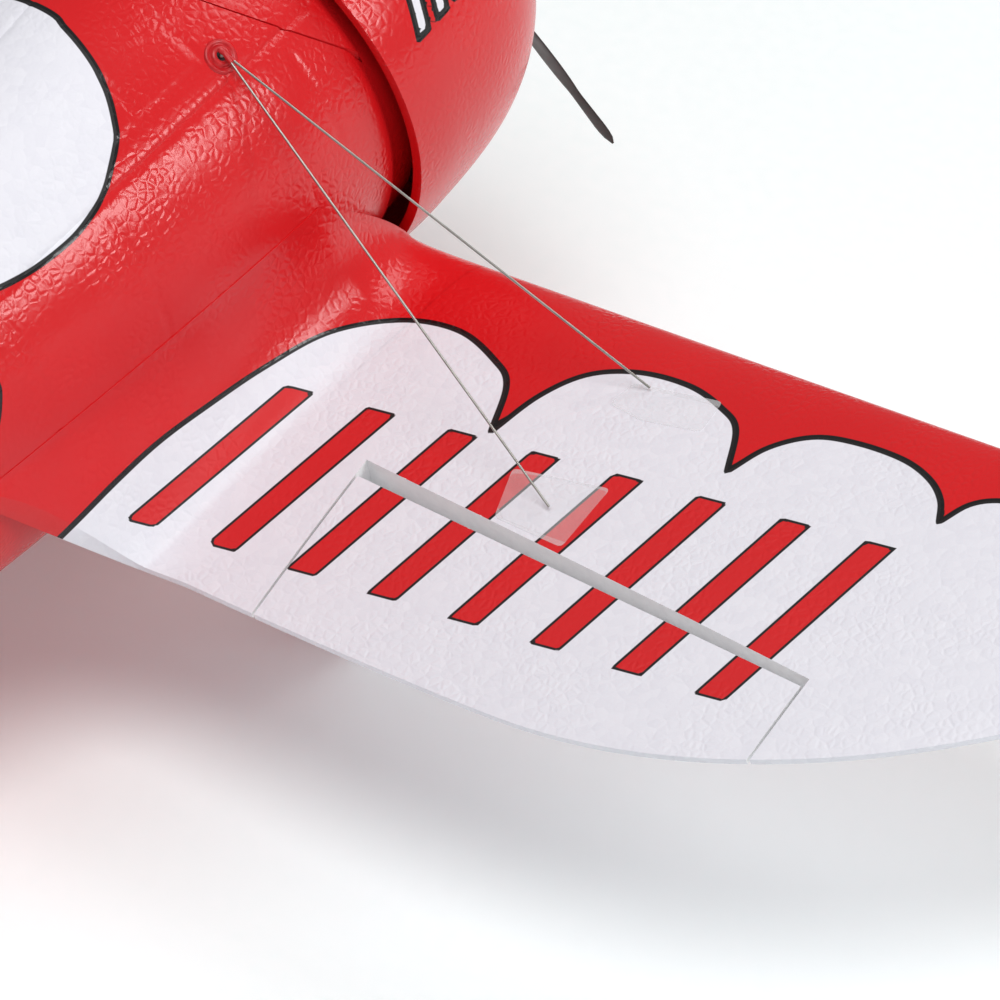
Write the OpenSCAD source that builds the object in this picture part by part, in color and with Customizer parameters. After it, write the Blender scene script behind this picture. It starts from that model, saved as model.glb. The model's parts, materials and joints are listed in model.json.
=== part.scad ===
// Small electric radio-controlled model of a barrel-bodied, low-wing racing aeroplane, moulded in foam.
// The aeroplane is laid out level: x = 0 is its middle, y = 0 is the rear rim of the cowl with the
// tail towards +y, and z = 0 is the thrust line. stand() then tips it back onto its three wheels.
// Starboard, the pilot's right, is at -x.

/* [Cowl and engine] */
// Outer radius of the cowl at its rear rim
cowl_rim_r = 53.5; // [50.5:0.5:58]
// How far the barrel of the cowl swells beyond its rim
cowl_swell = 0.9; // [0.1:0.1:3]
// Length of the cowl
cowl_len = 61; // [55:1:74]
// Radius of the air intake in the front of the cowl
intake_r = 33; // [28:0.5:38]
// Thickness of the cowl
cowl_wall = 2; // [1.5:0.25:2.5]
// Radius of the propeller
prop_r = 77; // [60:1:80]
// Angle of the propeller's blades as it stands, from the starboard side downwards
prop_angle = 54; // [0:1:90]
// Radius of the motor's turning bell
bell_r = 9.5; // [8:0.5:11]
// Radius of the motor's shaft
shaft_r = 1; // [0.75:0.25:1.25]

/* [Fuselage] */
// Radius of the fuselage where it enters the cowl
nose_r = 48.5; // [45:0.5:48.5]
// Greatest half width of the fuselage
body_half_w = 48.5; // [46:0.5:56]
// Greatest height of the back above the thrust line
back_h = 51.5; // [49:0.5:60]
// Greatest depth of the belly below the thrust line
belly_h = 48.5; // [46:0.5:56]
// Distance from the cowl to the sternpost
tail_y = 261; // [240:1:300]
// Thickness of the foam shell
foam_wall = 5; // [4:0.5:6.5]
// Radius of the hatch's round rear edge, seen from above
hatch_r = 49.6; // [46:0.2:52]

/* [Wing] */
// Half of the wing span
semi_span = 255; // [225:1:305]
// Chord of the wing at its widest
wing_chord = 99; // [90:1:110]
// Height of the wing root above the thrust line
wing_root_z = -29; // [-33:0.5:-26]
// Upward slope of each wing in degrees
dihedral = 4.5; // [2:0.5:7]
// Thickness of the wing at its root
root_t = 10.5; // [9:0.5:12]
// Thickness of the wing near its tip
tip_t = 5; // [4:0.5:7]
// Distance from the middle to the aileron's inner end
aileron_in = 77.4; // [72:0.2:90]
// Distance from the middle to the aileron's outer end
aileron_out = 186.3; // [150:0.1:200]
// Distance from the leading edge to the aileron's hinge at its inner end
hinge_in_y = 56.7; // [52:0.1:60]
// Distance from the leading edge to the aileron's hinge at its outer end
hinge_out_y = 67.6; // [60:0.1:72]

/* [Tail] */
// Half of the tailplane's span
stab_half = 90; // [75:1:110]
// Height of the tailplane above the thrust line
stab_z = 8; // [5:0.5:12]
// Chord of the elevator
elevator_chord = 21; // [16:1:26]
// Height of the fin's top above the thrust line
fin_top = 80; // [70:1:95]
// Chord of the rudder
rudder_chord = 22; // [18:1:26]
// Thickness of the moulded tail surfaces
tail_t = 4; // [3:0.5:5]

/* [Undercarriage] */
// Distance of each main wheel from the middle
wheel_x = 64; // [60:1:74]
// Distance of the main axles behind the cowl's rim
wheel_y = 18; // [12:1:26]
// Depth of the main axles below the thrust line
wheel_drop = 75; // [70:1:85]
// Radius of the main wheels
wheel_r = 15; // [13:0.5:18]
// Width of the main wheels
wheel_w = 9; // [7:0.5:11]
// Depth of the tail wheel's axle below the thrust line
tail_wheel_drop = 31; // [28:0.5:36]
// Radius of the tail wheel
tail_wheel_r = 6; // [5:0.5:7.5]

/* [Hidden] */
$fn = 64;

// Play left round parts that move past each other
play = 0.3;
// Radial play of a wheel on its axle
axle_play = 0.05;
// A little more than nothing, for cuts that must break through a surface
over = 0.5;
// Further than any part of the aeroplane reaches
far = 400;

// How far the fuselage reaches forward into the cowl
nose_tuck = 6;
// Where the fuselage is widest, and the length over which it would taper to nothing
widest_y = 20;
side_taper_len = tail_y - 3;
// Where the back and the belly start to slope, and their taper lengths
slope_y = 40;
back_taper_len = 1.42 * tail_y;
belly_taper_len = 1.11 * tail_y;
// Hollow inside of the fuselage ends here
hollow_end_y = tail_y - 30;
// Middle of the hatch's round edge, and the hatch's gap behind the cowl
hatch_mid_y = -24;
hatch_front_y = 0.6;
hatch_gap = 0.6;
// Frame under the hatch, and the magnets that hold the hatch to it
ledge_t = 1.2;
magnet_t = 1.2;
magnet_r = 1.5;

// Wing outline
root_x = 46.3;
crown_x = 137;
root_fall = 10;
tip_start_x = 200;
tip_sweep = 30;
tip_fall = 62.7;
trailing_half_t = 0.6;
// Root fairing: where its upper edge lies, how wide it is, and how far it runs aft and up
fairing_top_z = 4.5;
fairing_w = 14;
fairing_aft = 22;
fairing_lift = 32;

// Flying wires
boss_y = 26;
boss_angle = 49;
anchor_x = 117.5;
anchor_y = [18.9, 53.1];
flying_wire_r = 0.25;

// Control linkages; the ailerons' hinges lie just above the wing's lower skin
hinge_lift = 0.4;
arm = 8;
tail_arm = 9;
rod_r = 0.4;
rod_hole_r = 1.15;
tail_hole_r = 1.5;
servo_x = 118;
servo_y = 22;
servo_size = [9, 20, 5];
servo_depth = 2;
aileron_gap_angle = 26;
board_y = 66;
elevator_rod_x = 15;
rudder_rod_x = -9;
tail_servo_y = 84;

// Tail
elevator_hinge_y = tail_y - 8;
rudder_hinge_y = tail_y + 2;
stab_front_y = tail_y - 40;
fin_front_y = tail_y - 62;
fin_base_z = 24;
joiner_r = 1;
elevator_inner_x = 12;

// Undercarriage
axle_r = 0.75;
tail_wheel_y = tail_y + 6;
tail_wheel_w = 4;
pant_gap = 1.5;
pant_side_gap = 2.5;
hub_r = 7;
hub_boss_r = 2.2;

// Nose
cowl_droop = 19;
cylinders = 9;
// Dummy engine: its opening round the motor, the cylinders' barrels and fins, and its posts
engine_bore_r = bell_r + 2.5;
barrel_r = 4.6;
barrel_fin_r = 5.8;
post_circle_r = 34;
post_r = 3;
// Motor pylon: its bore, and the bolts that hold it to the firewall
pylon_bore_r = 6;
bolt_circle_r = 15;
bolt_r = 0.9;

// Interior
tray_z = -14;
tray_t = 1.5;
firewall_t = 3;
firewall_y = -nose_tuck + 1;
mount_face_y = -40;
ledge_ring_y = -34;
prop_y = -cowl_len - 5;
spinner_base = 3;
spinner_len = 10;
canopy_y = [tail_y - 112, tail_y - 56];
canopy_half_w = 12;
cockpit_half_w = canopy_half_w - 3;
canopy_h = 16;

// The aeroplane leans back by the slope of the line that touches all three wheels
wheel_dy = tail_wheel_y - wheel_y;
wheel_dz = wheel_drop - tail_wheel_drop;
wheel_gap = sqrt(wheel_dy ^ 2 + wheel_dz ^ 2);
stance = atan2(wheel_dz, wheel_dy) + asin((wheel_r - tail_wheel_r) / wheel_gap);
ground_z = wheel_y * sin(stance) + wheel_drop * cos(stance) + wheel_r;
spinner_tip_y = prop_y - spinner_base - spinner_len;
rudder_end_y = rudder_hinge_y + rudder_chord;
// The leaning rudder reaches furthest aft a little below its rounded top
rudder_reach_z = fin_top - 35;
middle_y = (spinner_tip_y + rudder_end_y) / 2 * cos(stance) + rudder_reach_z / 2 * sin(stance);

module stand() {
    translate([0, -middle_y, ground_z]) rotate([-stance, 0, 0]) children();
}

// A closed skin through rings that all have the same number of points
module skin(rings) {
    n = len(rings[0]);
    last = len(rings) - 1;
    points = [for (ring = rings) each ring];
    sides = [for (j = [0:last - 1], i = [0:n - 1])
        let(a = j * n + i, b = j * n + (i + 1) % n)
        each [[a, b, b + n], [a, b + n, a + n]]];
    first_cap = [for (i = [n - 1:-1:0]) i];
    last_cap = [for (i = [0:n - 1]) last * n + i];
    polyhedron(points, concat(sides, [first_cap, last_cap]));
}

// A straight round bar between two points
module bar(p, q, r) {
    d = q - p;
    translate(p) rotate([0, acos(d.z / norm(d)), atan2(d.y, d.x)]) cylinder(h = norm(d), r = r);
}

// A wire bent at each of its inner points
module bent_wire(points, r) {
    for (k = [1:len(points) - 1]) bar(points[k - 1], points[k], r);
    for (k = [1:len(points) - 2]) translate(points[k]) sphere(r = 1.1 * r);
}

// The same thing on both sides
module on_side(side) {
    mirror([side < 0 ? 0 : 1, 0, 0]) children();
}

// ---- Fuselage form ----
function swell(y, from, to, end) = from + (to - from) * (1 - (1 - max(0, min(y, end)) / end) ^ 2);
function fade(y, start, length, power) = 1 - (max(0, y - start) / length) ^ power;
function body_w(y) = swell(y, nose_r, body_half_w, widest_y) * fade(y, widest_y, side_taper_len, 1.25);
function back_z(y) = swell(y, nose_r, back_h, slope_y) * fade(y, slope_y, back_taper_len, 1.6);
function belly_z(y) = swell(y, nose_r, belly_h, slope_y) * fade(y, slope_y, belly_taper_len, 1.5);
function body_point(y, a, wall = 0) = [
    (body_w(y) - wall) * cos(a),
    y,
    ((a > 0 ? back_z(y) : belly_z(y)) - wall) * sin(a)
];

body_steps = 15;
// Angle between the points of a fuselage ring
ring_step = 12;
function body_stations(end) = [for (k = [0:body_steps]) -nose_tuck + (end + nose_tuck) * k / body_steps];

// The port half of the fuselage as a solid, reaching past the middle by reach
module half_body(wall, end, reach, front = 0) {
    skin([for (k = [0:body_steps])
        let(y = body_stations(end)[k] - (k == 0 ? front : 0))
        concat([for (a = [-90:ring_step:90]) body_point(y, a, wall)],
            [[-reach, y, back_z(y) - wall], [-reach, y, wall - belly_z(y)]])]);
}

module whole_body(wall, end, front = 0) {
    skin([for (k = [0:body_steps])
        let(y = body_stations(end)[k] - (k == 0 ? front : 0))
        [for (a = [ring_step - 180:ring_step:180]) body_point(y, a, wall)]]);
}

module hatch_cutter(gap) {
    intersection() {
        translate([0, hatch_mid_y, 12 - gap]) cylinder(h = 90, r = hatch_r + gap);
        translate([-100, hatch_front_y - gap, 0]) cube([200, 100, 120]);
    }
}

// Room for the cockpit under the canopy
module cockpit_cutter() {
    translate([-cockpit_half_w, canopy_y[0] + 10, fin_base_z - 2]) cube([2 * cockpit_half_w, 30, 60]);
}

// Channels that the two tail push-rods leave the fuselage through
module rod_channels() {
    bar(elevator_rod_points()[0], elevator_rod_points()[1], 1.6);
    bar(rudder_rod_points()[0], rudder_rod_points()[1], 1.6);
}

module fuselage_half(side) {
    difference() {
        on_side(side) mirror([1, 0, 0]) half_body(0, tail_y, 0);
        on_side(side) mirror([1, 0, 0]) half_body(foam_wall, hollow_end_y, 1, over);
        hatch_cutter(play);
        cockpit_cutter();
        rod_channels();
        translate([0, 0, stab_z - tail_t / 2]) linear_extrude(tail_t) stab_outline();
        fin_solid();
        bar([-20, elevator_hinge_y, stab_z], [20, elevator_hinge_y, stab_z], joiner_r + play);
    }
}

module fuselage_left() {
    color("crimson") stand() fuselage_half(1);
}

module fuselage_right() {
    color("crimson") stand() fuselage_half(-1);
}

module battery_hatch() {
    color("firebrick") stand() difference() {
        intersection() {
            whole_body(0, 60);
            hatch_cutter(0);
        }
        whole_body(foam_wall - hatch_gap, 70, over);
        magnet_at(-2, 2 + magnet_t);
    }
}

// Thin moulded frame under the hatch's edge, glued inside the fuselage
module hatch_ledge() {
    color("dimgray") stand() difference() {
        intersection() {
            both_sides() half_body(foam_wall, hollow_end_y, 1, over);
            translate([0, hatch_mid_y, 22]) cylinder(h = 60, r = hatch_r + 3);
            translate([-60, hatch_front_y, 0]) cube([120, 60, 60]);
        }
        both_sides() half_body(foam_wall + ledge_t, hollow_end_y, 1, 2 * over);
        translate([0, hatch_mid_y, 0]) cylinder(h = 90, r = hatch_r - 4);
        magnet_at(-2 * magnet_t, 2 * magnet_t);
    }
}

// A round magnet by the hatch's rear edge; up is counted from the hatch's lower face
module magnet_at(up, thickness) {
    y = hatch_mid_y + hatch_r - 2;
    translate([0, y, back_z(y) - foam_wall + hatch_gap + up]) cylinder(h = thickness, r = magnet_r);
}

module hatch_magnet() {
    color("silver") stand() magnet_at(0, magnet_t);
}

module ledge_magnet() {
    color("silver") stand() magnet_at(-magnet_t - hatch_gap - 0.2, magnet_t);
}

// ---- Nose ----
// Outer radius of the cowl at a distance forward of its rear rim
function cowl_r(d) = cowl_rim_r + cowl_swell * sin(90 * min(1, 5 * d / cowl_len))
    - cowl_droop * max(0, 1.25 * d / cowl_len - 0.25) ^ 3.3;

module cowl() {
    outer = [for (k = [0:20]) let(d = cowl_len * (1 - (1 - k / 20) ^ 1.3)) [cowl_r(d), d]];
    inner = [for (k = [12:-1:0]) let(d = (cowl_len - 9) * k / 12) [cowl_r(d) - cowl_wall, d]];
    lip = [[intake_r + 0.6, cowl_len - 0.6], [intake_r, cowl_len - 2], [intake_r + 1.5, cowl_len - 6]];
    color("red") stand() rotate([90, 0, 0]) {
        rotate_extrude() polygon(concat(outer, lip, inner));
        // ledge that the dummy engine is fixed to
        translate([0, 0, -ledge_ring_y - 2]) difference() {
            cylinder(h = 2, r = cowl_r(-ledge_ring_y) - cowl_wall + over);
            translate([0, 0, -over]) cylinder(h = 3, r = 45);
        }
    }
}

module dummy_engine() {
    color("gray") stand() rotate([90, 0, 0]) {
        difference() {
            translate([0, 0, -ledge_ring_y]) cylinder(h = 1.5, r = 46.5);
            translate([0, 0, -ledge_ring_y - over]) cylinder(h = 3, r = engine_bore_r);
        }
        // crankcase
        difference() {
            translate([0, 0, -ledge_ring_y]) cylinder(h = 14, r1 = 18, r2 = 13.5);
            translate([0, 0, -ledge_ring_y - over]) cylinder(h = 16, r = engine_bore_r);
        }
        for (k = [0:cylinders - 1]) rotate([0, 0, 90 + 360 / cylinders * k])
            translate([15, 0, -ledge_ring_y + 6.5]) rotate([0, 90, 0]) {
                cylinder(h = 24, r = barrel_r);
                for (f = [0:5]) translate([0, 0, 7 + 2.8 * f]) cylinder(h = 1.2, r = barrel_fin_r);
            }
        // posts that stand on the firewall
        for (k = [0:2]) rotate([0, 0, 30 + 120 * k]) translate([post_circle_r, 0, -firewall_y])
            cylinder(h = 1 - ledge_ring_y + firewall_y, r = post_r);
    }
}

module firewall() {
    color("black") stand() rotate([90, 0, 0]) difference() {
        translate([0, 0, -firewall_y - firewall_t]) cylinder(h = firewall_t,
            r = (nose_r - foam_wall) * cos(ring_step / 2));
        translate([0, 0, -far / 2]) cylinder(h = far, r = pylon_bore_r);
        for (k = [0:3]) rotate([0, 0, 45 + 90 * k]) translate([bolt_circle_r, 0, -far / 2])
            cylinder(h = far, r = bolt_r);
    }
}

module firewall_screws() {
    color("silver") stand() rotate([90, 0, 0]) for (k = [0:3]) rotate([0, 0, 45 + 90 * k])
        translate([bolt_circle_r, 0, -firewall_y - firewall_t]) {
            cylinder(h = firewall_t + 2, r = bolt_r);
            translate([0, 0, firewall_t + 2]) cylinder(h = 1, r = 2 * bolt_r);
        }
}

module motor_mount() {
    color("dimgray") stand() rotate([90, 0, 0]) difference() {
        union() {
            translate([0, 0, -firewall_y]) cylinder(h = 2, r = 18);
            translate([0, 0, -firewall_y]) cylinder(h = -mount_face_y + firewall_y, r = 8);
        }
        translate([0, 0, -far / 2]) cylinder(h = far, r = pylon_bore_r);
        for (k = [0:3]) rotate([0, 0, 45 + 90 * k]) translate([bolt_circle_r, 0, -far / 2])
            cylinder(h = far, r = bolt_r);
    }
}

module motor_stator() {
    color("peru") stand() rotate([90, 0, 0]) difference() {
        union() {
            translate([0, 0, -mount_face_y]) cylinder(h = 2, r = 8);
            translate([0, 0, -mount_face_y]) cylinder(h = 12, r = 3);
            for (k = [0:8]) rotate([0, 0, 40 * k]) translate([2, -1.2, -mount_face_y + 3])
                cube([5.6, 2.4, 7]);
        }
        translate([0, 0, -far / 2]) cylinder(h = far, r = shaft_r + axle_play);
    }
}

module motor_bell() {
    color("darkgray") stand() rotate([90, 0, 0]) difference() {
        translate([0, 0, -mount_face_y + 2 + play]) cylinder(h = 13, r = bell_r);
        translate([0, 0, -mount_face_y]) cylinder(h = 12.6, r = bell_r - 1.3);
        translate([0, 0, -far / 2]) cylinder(h = far, r = shaft_r);
        for (k = [0:5]) rotate([0, 0, 60 * k]) translate([5.3, 0, -mount_face_y + 12])
            cylinder(h = 6, r = 1.4);
    }
}

module motor_shaft() {
    color("silver") stand() rotate([90, 0, 0])
        translate([0, 0, -mount_face_y - 4]) cylinder(h = mount_face_y - prop_y + 14, r = shaft_r);
}

// One blade as rings across its length; the pitch falls off towards the tip
module blade() {
    steps = 9;
    skin([for (k = [0:steps])
        let(u = k / steps, r = 5 + (prop_r - 5) * u,
            c = 2.2 + 4.6 * sin(180 * min(1, u * 1.15 + 0.12)) ^ 0.8 * (u > 0.93 ? 0.55 : 1),
            t = 1.5 - 1.1 * u, p = 52 - 46 * u)
        [for (a = [330:-30:0]) [r, -c * cos(a) * sin(p) - t / 2 * sin(a) * cos(p),
            c * cos(a) * cos(p) - t / 2 * sin(a) * sin(p)]]]);
}

module propeller() {
    color([0.16, 0.12, 0.11]) stand() translate([0, prop_y, 0]) {
        difference() {
            rotate([90, 0, 0]) cylinder(h = 6, r = 6, center = true);
            rotate([90, 0, 0]) cylinder(h = 10, r = shaft_r, center = true);
        }
        for (turn = [0, 180]) rotate([0, 180 - prop_angle + turn, 0]) blade();
    }
}

module spinner() {
    color("firebrick") stand() translate([0, prop_y - spinner_base, 0]) rotate([90, 0, 0]) difference() {
        rotate_extrude() polygon([[0, 0], [7, 0], [6.6, 3], [5.2, 6.5], [3.2, 9], [1, 10], [0, 10]]);
        translate([0, 0, -over]) cylinder(h = 7.5, r = shaft_r);
    }
}

// ---- Wing form ----
function tip_u(x) = max(0, min(1, (x - tip_start_x) / (semi_span - tip_start_x)));
function tip_round(x) = 1 - sqrt(1 - tip_u(x) ^ 2);
function front_y(x) = tip_sweep * tip_round(x);
function rear_base_y(x) = wing_chord - (x > crown_x
    ? tip_fall * ((x - crown_x) / (semi_span - crown_x)) ^ 2
    : root_fall * ((crown_x - x) / crown_x) ^ 1.5);
function rear_y(x) = rear_base_y(x) - (rear_base_y(semi_span) - tip_sweep) * tip_round(x);
function wing_z(x) = wing_root_z + (x - root_x) * tan(dihedral);
function wing_t(x) = (root_t + (tip_t - root_t) * max(0, x - root_x) / (semi_span - root_x))
    * sqrt(min(1, (rear_y(x) - front_y(x)) / 45));
function bulge(s) = 5 * (0.2969 * sqrt(s) - 0.126 * s - 0.3516 * s ^ 2 + 0.2843 * s ^ 3 - 0.1015 * s ^ 4);
function chord_y(x, s) = front_y(x) + (rear_y(x) - front_y(x)) * s;
function chord_s(x, y) = (y - front_y(x)) / (rear_y(x) - front_y(x));
function top_z(x, s) = wing_z(x) + 1.4 * wing_t(x) * bulge(s) + trailing_half_t * s;
function under_z(x, s) = wing_z(x) - 0.6 * wing_t(x) * bulge(s) - trailing_half_t * s;

// Points round one wing section: over the top from the leading edge, then back underneath
chord_steps = 10;
function section_s() = [for (k = [0:chord_steps]) (1 - cos(180 * k / chord_steps)) / 2];
function plain_section(x) = concat(
    [for (k = [0:chord_steps]) let(s = section_s()[k]) [x, chord_y(x, s), top_z(x, s)]],
    [for (k = [chord_steps:-1:1]) let(s = section_s()[k]) [x, chord_y(x, s), under_z(x, s)]]);

// Root fairing: d is 0 on the fuselage's side and 1 where the fairing meets the plain wing
function root_point(d, s, up) = let(
    aft = max(0, 1 - max(0, d)) ^ 2,
    x1 = root_x + fairing_w,
    y = chord_y(x1, s) + fairing_aft * aft * s ^ 2,
    x = body_w(y) + d * fairing_w + (1 - s) * 3 * max(0, d),
    lift = fairing_lift * aft * s ^ 3,
    plain = (up ? top_z(x1, s) : under_z(x1, s)) + lift - (x1 - x) * tan(dihedral),
    rise = up ? max(0, fairing_top_z - plain) * (1 - sqrt(1 - (1 - max(0, d)) ^ 2)) * min(1, 4 * s) : 0
) [x, y, plain + rise];
function root_section(d) = concat(
    [for (k = [0:chord_steps]) root_point(d, section_s()[k], true)],
    [for (k = [chord_steps:-1:1]) root_point(d, section_s()[k], false)]);

module wing_form() {
    skin(concat(
        [for (d = [-0.7, 0, 0.08, 0.2, 0.4, 0.65, 1]) root_section(d)],
        [for (x = [75, 100, 125, 150, 170, 190]) plain_section(x)],
        [for (a = [10:16:90]) plain_section(tip_start_x + (semi_span - 0.4 - tip_start_x) * sin(a))]));
}

function hinge_y(x) = hinge_in_y + (hinge_out_y - hinge_in_y) * (x - aileron_in) / (aileron_out - aileron_in);
function hinge_point(x) = [x, hinge_y(x), under_z(x, chord_s(x, hinge_y(x))) + hinge_lift];

module aileron_plan(side_gap, front_gap) {
    translate([0, 0, -80]) linear_extrude(160) polygon([
        [aileron_in + side_gap, hinge_y(aileron_in) + front_gap],
        [aileron_out - side_gap, hinge_y(aileron_out) + front_gap],
        [aileron_out - side_gap, wing_chord + 20],
        [aileron_in + side_gap, wing_chord + 20]]);
}

// Puts x along the aileron's hinge, with the middle of the hinge at the origin
module at_hinge() {
    p = hinge_point(aileron_in);
    q = hinge_point(aileron_out);
    d = q - p;
    translate((p + q) / 2) rotate([0, -asin(d.z / norm(d)), atan2(d.y, d.x)]) children();
}

// Where the wing's lower skin is under the servo
function servo_z() = under_z(servo_x, chord_s(servo_x, servo_y + servo_size.y / 2));

module wing_half(side) {
    on_side(side) mirror([1, 0, 0]) difference() {
        wing_form();
        half_body(0, tail_y, 20);
        aileron_plan(0, 0);
        bar(spar_point(30), spar_point(200), 1);
        translate([servo_x - servo_size.x / 2, servo_y, servo_z() - 2])
            cube([servo_size.x, servo_size.y, servo_depth + 2]);
        translate([gear_wire_x(), wheel_y, -60]) cylinder(h = 60 + wing_root_z + 2, r = axle_r);
    }
}

function spar_point(x) = [x, 33, wing_z(x) + 1];
function gear_wire_x() = wheel_x - wheel_w / 2 - 1 - axle_r;

module wing_left() {
    color("white") stand() wing_half(1);
}

module wing_right() {
    color("white") stand() wing_half(-1);
}

module wing_spar_left() {
    color([0.12, 0.12, 0.13]) stand() bar(spar_point(50), spar_point(200), 1);
}

module wing_spar_right() {
    color([0.12, 0.12, 0.13]) stand() mirror([1, 0, 0]) bar(spar_point(50), spar_point(200), 1);
}

module aileron_half(side) {
    on_side(side) mirror([1, 0, 0]) difference() {
        intersection() {
            wing_form();
            aileron_plan(2 * play, play);
        }
        at_hinge() rotate([-aileron_gap_angle, 0, 0]) translate([-100, -40 + play, -10])
            cube([200, 40, 40]);
    }
}

module aileron_left() {
    color("white") stand() aileron_half(1);
}

module aileron_right() {
    color("white") stand() aileron_half(-1);
}

// Height of the hole in the aileron's horn, straight below the hinge
function horn_z() = hinge_point(servo_x).z - arm;

module aileron_horn_half(side) {
    h = hinge_point(servo_x);
    base = h.y + 3;
    on_side(side) mirror([1, 0, 0]) difference() {
        translate([servo_x - 0.6, 0, 0]) rotate([90, 0, 90]) linear_extrude(1.2) polygon([
            [h.y - 2.2, horn_z() - 1.6], [h.y + 2.2, horn_z() - 1.6],
            [h.y + 9, under_z(servo_x, chord_s(servo_x, h.y + 9))],
            [base, under_z(servo_x, chord_s(servo_x, base))]]);
        translate([servo_x, h.y, horn_z()]) rotate([0, 90, 0])
            cylinder(h = 6, r = rod_hole_r, center = true);
    }
}

module aileron_horn_left() {
    color("whitesmoke") stand() aileron_horn_half(1);
}

module aileron_horn_right() {
    color("whitesmoke") stand() aileron_horn_half(-1);
}

module aileron_servo_half(side) {
    on_side(side) mirror([1, 0, 0]) difference() {
        translate([servo_x - servo_size.x / 2, servo_y, servo_z() + servo_depth - servo_size.z])
            cube(servo_size);
        // track that the slider runs in
        translate([servo_x - 2.5, servo_y + 3, servo_z() + servo_depth - servo_size.z - over])
            cube([5, servo_size.y - 6, 2.5]);
    }
}

module aileron_servo_left() {
    color("darkslategray") stand() aileron_servo_half(1);
}

module aileron_servo_right() {
    color("darkslategray") stand() aileron_servo_half(-1);
}

// Push-rod with its slider in the servo's track and a cranked end in the horn
module aileron_rod_half(side) {
    y0 = servo_y + servo_size.y / 2;
    z0 = servo_z() + servo_depth - servo_size.z;
    h = hinge_point(servo_x);
    x = servo_x - 2.5;
    on_side(side) mirror([1, 0, 0]) {
        translate([servo_x - 2, y0 - 2, z0 - 1.5]) cube([4, 4, 2.8]);
        bent_wire([[x + 1, y0, z0 - 1], [x, y0 + 8, horn_z()], [x, h.y, horn_z()],
            [servo_x + 1.5, h.y, horn_z()]], rod_r);
    }
}

module aileron_rod_left() {
    color("silver") stand() aileron_rod_half(1);
}

module aileron_rod_right() {
    color("silver") stand() aileron_rod_half(-1);
}

// ---- Flying wires ----
function boss_point(lift) = let(p = body_point(boss_y, boss_angle))
    p + lift * [cos(boss_angle), 0, sin(boss_angle)];
function anchor_point(i) = [anchor_x, anchor_y[i], top_z(anchor_x, chord_s(anchor_x, anchor_y[i]))];

module both_sides() {
    children();
    mirror([1, 0, 0]) children();
}

module wire_bosses() {
    color("crimson") stand() both_sides() translate(boss_point(-0.2)) rotate([0, 90 - boss_angle, 0])
        difference() {
            cylinder(h = 1.6, r1 = 3.4, r2 = 2.8);
            translate([0, 0, 0.6]) cylinder(h = 2, r = 1.1);
        }
}

module flying_wires() {
    color("silver") stand() both_sides() for (i = [0, 1])
        bar(boss_point(1.6), anchor_point(i) + [0, 0, 0.9], flying_wire_r);
}

module wire_anchors() {
    color("whitesmoke") stand() both_sides() for (i = [0, 1])
        translate(anchor_point(i) + [0, 0, -0.1]) cylinder(h = 0.7, r = 1.8);
}

// ---- Tail ----
function arc(cx, cy, rx, ry, from, to, steps) = [for (k = [0:steps])
    let(a = from + (to - from) * k / steps) [cx + rx * cos(a), cy + ry * sin(a)]];

module stab_outline() {
    run = elevator_hinge_y - 1 - stab_front_y;
    back = elevator_hinge_y - 1;
    polygon(concat(arc(20, back, stab_half - 20, -run, 0, 90, 10),
        arc(-20, back, stab_half - 20, -run, 90, 180, 10)));
}

module stabilizer() {
    color("white") stand() translate([0, 0, stab_z - tail_t / 2]) linear_extrude(tail_t) stab_outline();
}

module elevator_half(side) {
    front = elevator_hinge_y + play;
    on_side(side) mirror([1, 0, 0]) difference() {
        translate([0, 0, stab_z - tail_t / 2]) linear_extrude(tail_t) polygon(concat(
            [[elevator_inner_x, front]],
            arc(stab_half - 30, front, 30, elevator_chord - play, 0, 90, 8),
            [[elevator_inner_x + 3, front + elevator_chord - play]]));
        bar([0, elevator_hinge_y, stab_z], [elevator_inner_x + 8, elevator_hinge_y, stab_z], joiner_r);
    }
}

module elevator_left() {
    color("white") stand() elevator_half(1);
}

module elevator_right() {
    color("white") stand() elevator_half(-1);
}

// Carbon rod that turns both elevators together
module elevator_joiner() {
    x = elevator_inner_x + 8;
    color([0.12, 0.12, 0.13]) stand() bar([-x, elevator_hinge_y, stab_z], [x, elevator_hinge_y, stab_z],
        joiner_r);
}

module elevator_horn() {
    y = elevator_hinge_y;
    z = stab_z - tail_t / 2;
    color("whitesmoke") stand() difference() {
        translate([elevator_rod_x - 0.6, 0, 0]) rotate([90, 0, 90]) linear_extrude(1.2) polygon([
            [y - 2.6, stab_z - tail_arm - 2], [y + 2.6, stab_z - tail_arm - 2],
            [y + 8, z], [y + 1, z]]);
        translate([elevator_rod_x, y, stab_z - tail_arm]) rotate([0, 90, 0])
            cylinder(h = 6, r = tail_hole_r, center = true);
    }
}

module fin_outline() {
    back = rudder_hinge_y - 1;
    polygon(concat([[back, fin_base_z], [back, fin_top]],
        arc(back, fin_base_z + 8, fin_front_y - back, fin_top - fin_base_z - 8, 80, 0, 10),
        [[fin_front_y, fin_base_z]]));
}

module fin_solid() {
    translate([-tail_t / 2, 0, 0]) rotate([90, 0, 90]) linear_extrude(tail_t) fin_outline();
}

module fin() {
    color("white") stand() fin_solid();
}

rudder_foot_z = -belly_z(tail_y);
module rudder() {
    front = rudder_hinge_y + play;
    c = rudder_chord - play;
    color("white") stand() difference() {
        translate([-tail_t / 2, 0, 0]) rotate([90, 0, 90]) linear_extrude(tail_t)
            polygon(concat([[front, rudder_foot_z]],
                arc(front, rudder_foot_z + 14, c, 14, -80, 0, 6),
                arc(front, fin_top - 30, c, 30, 0, 90, 9)));
        fork_stem();
    }
}

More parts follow.
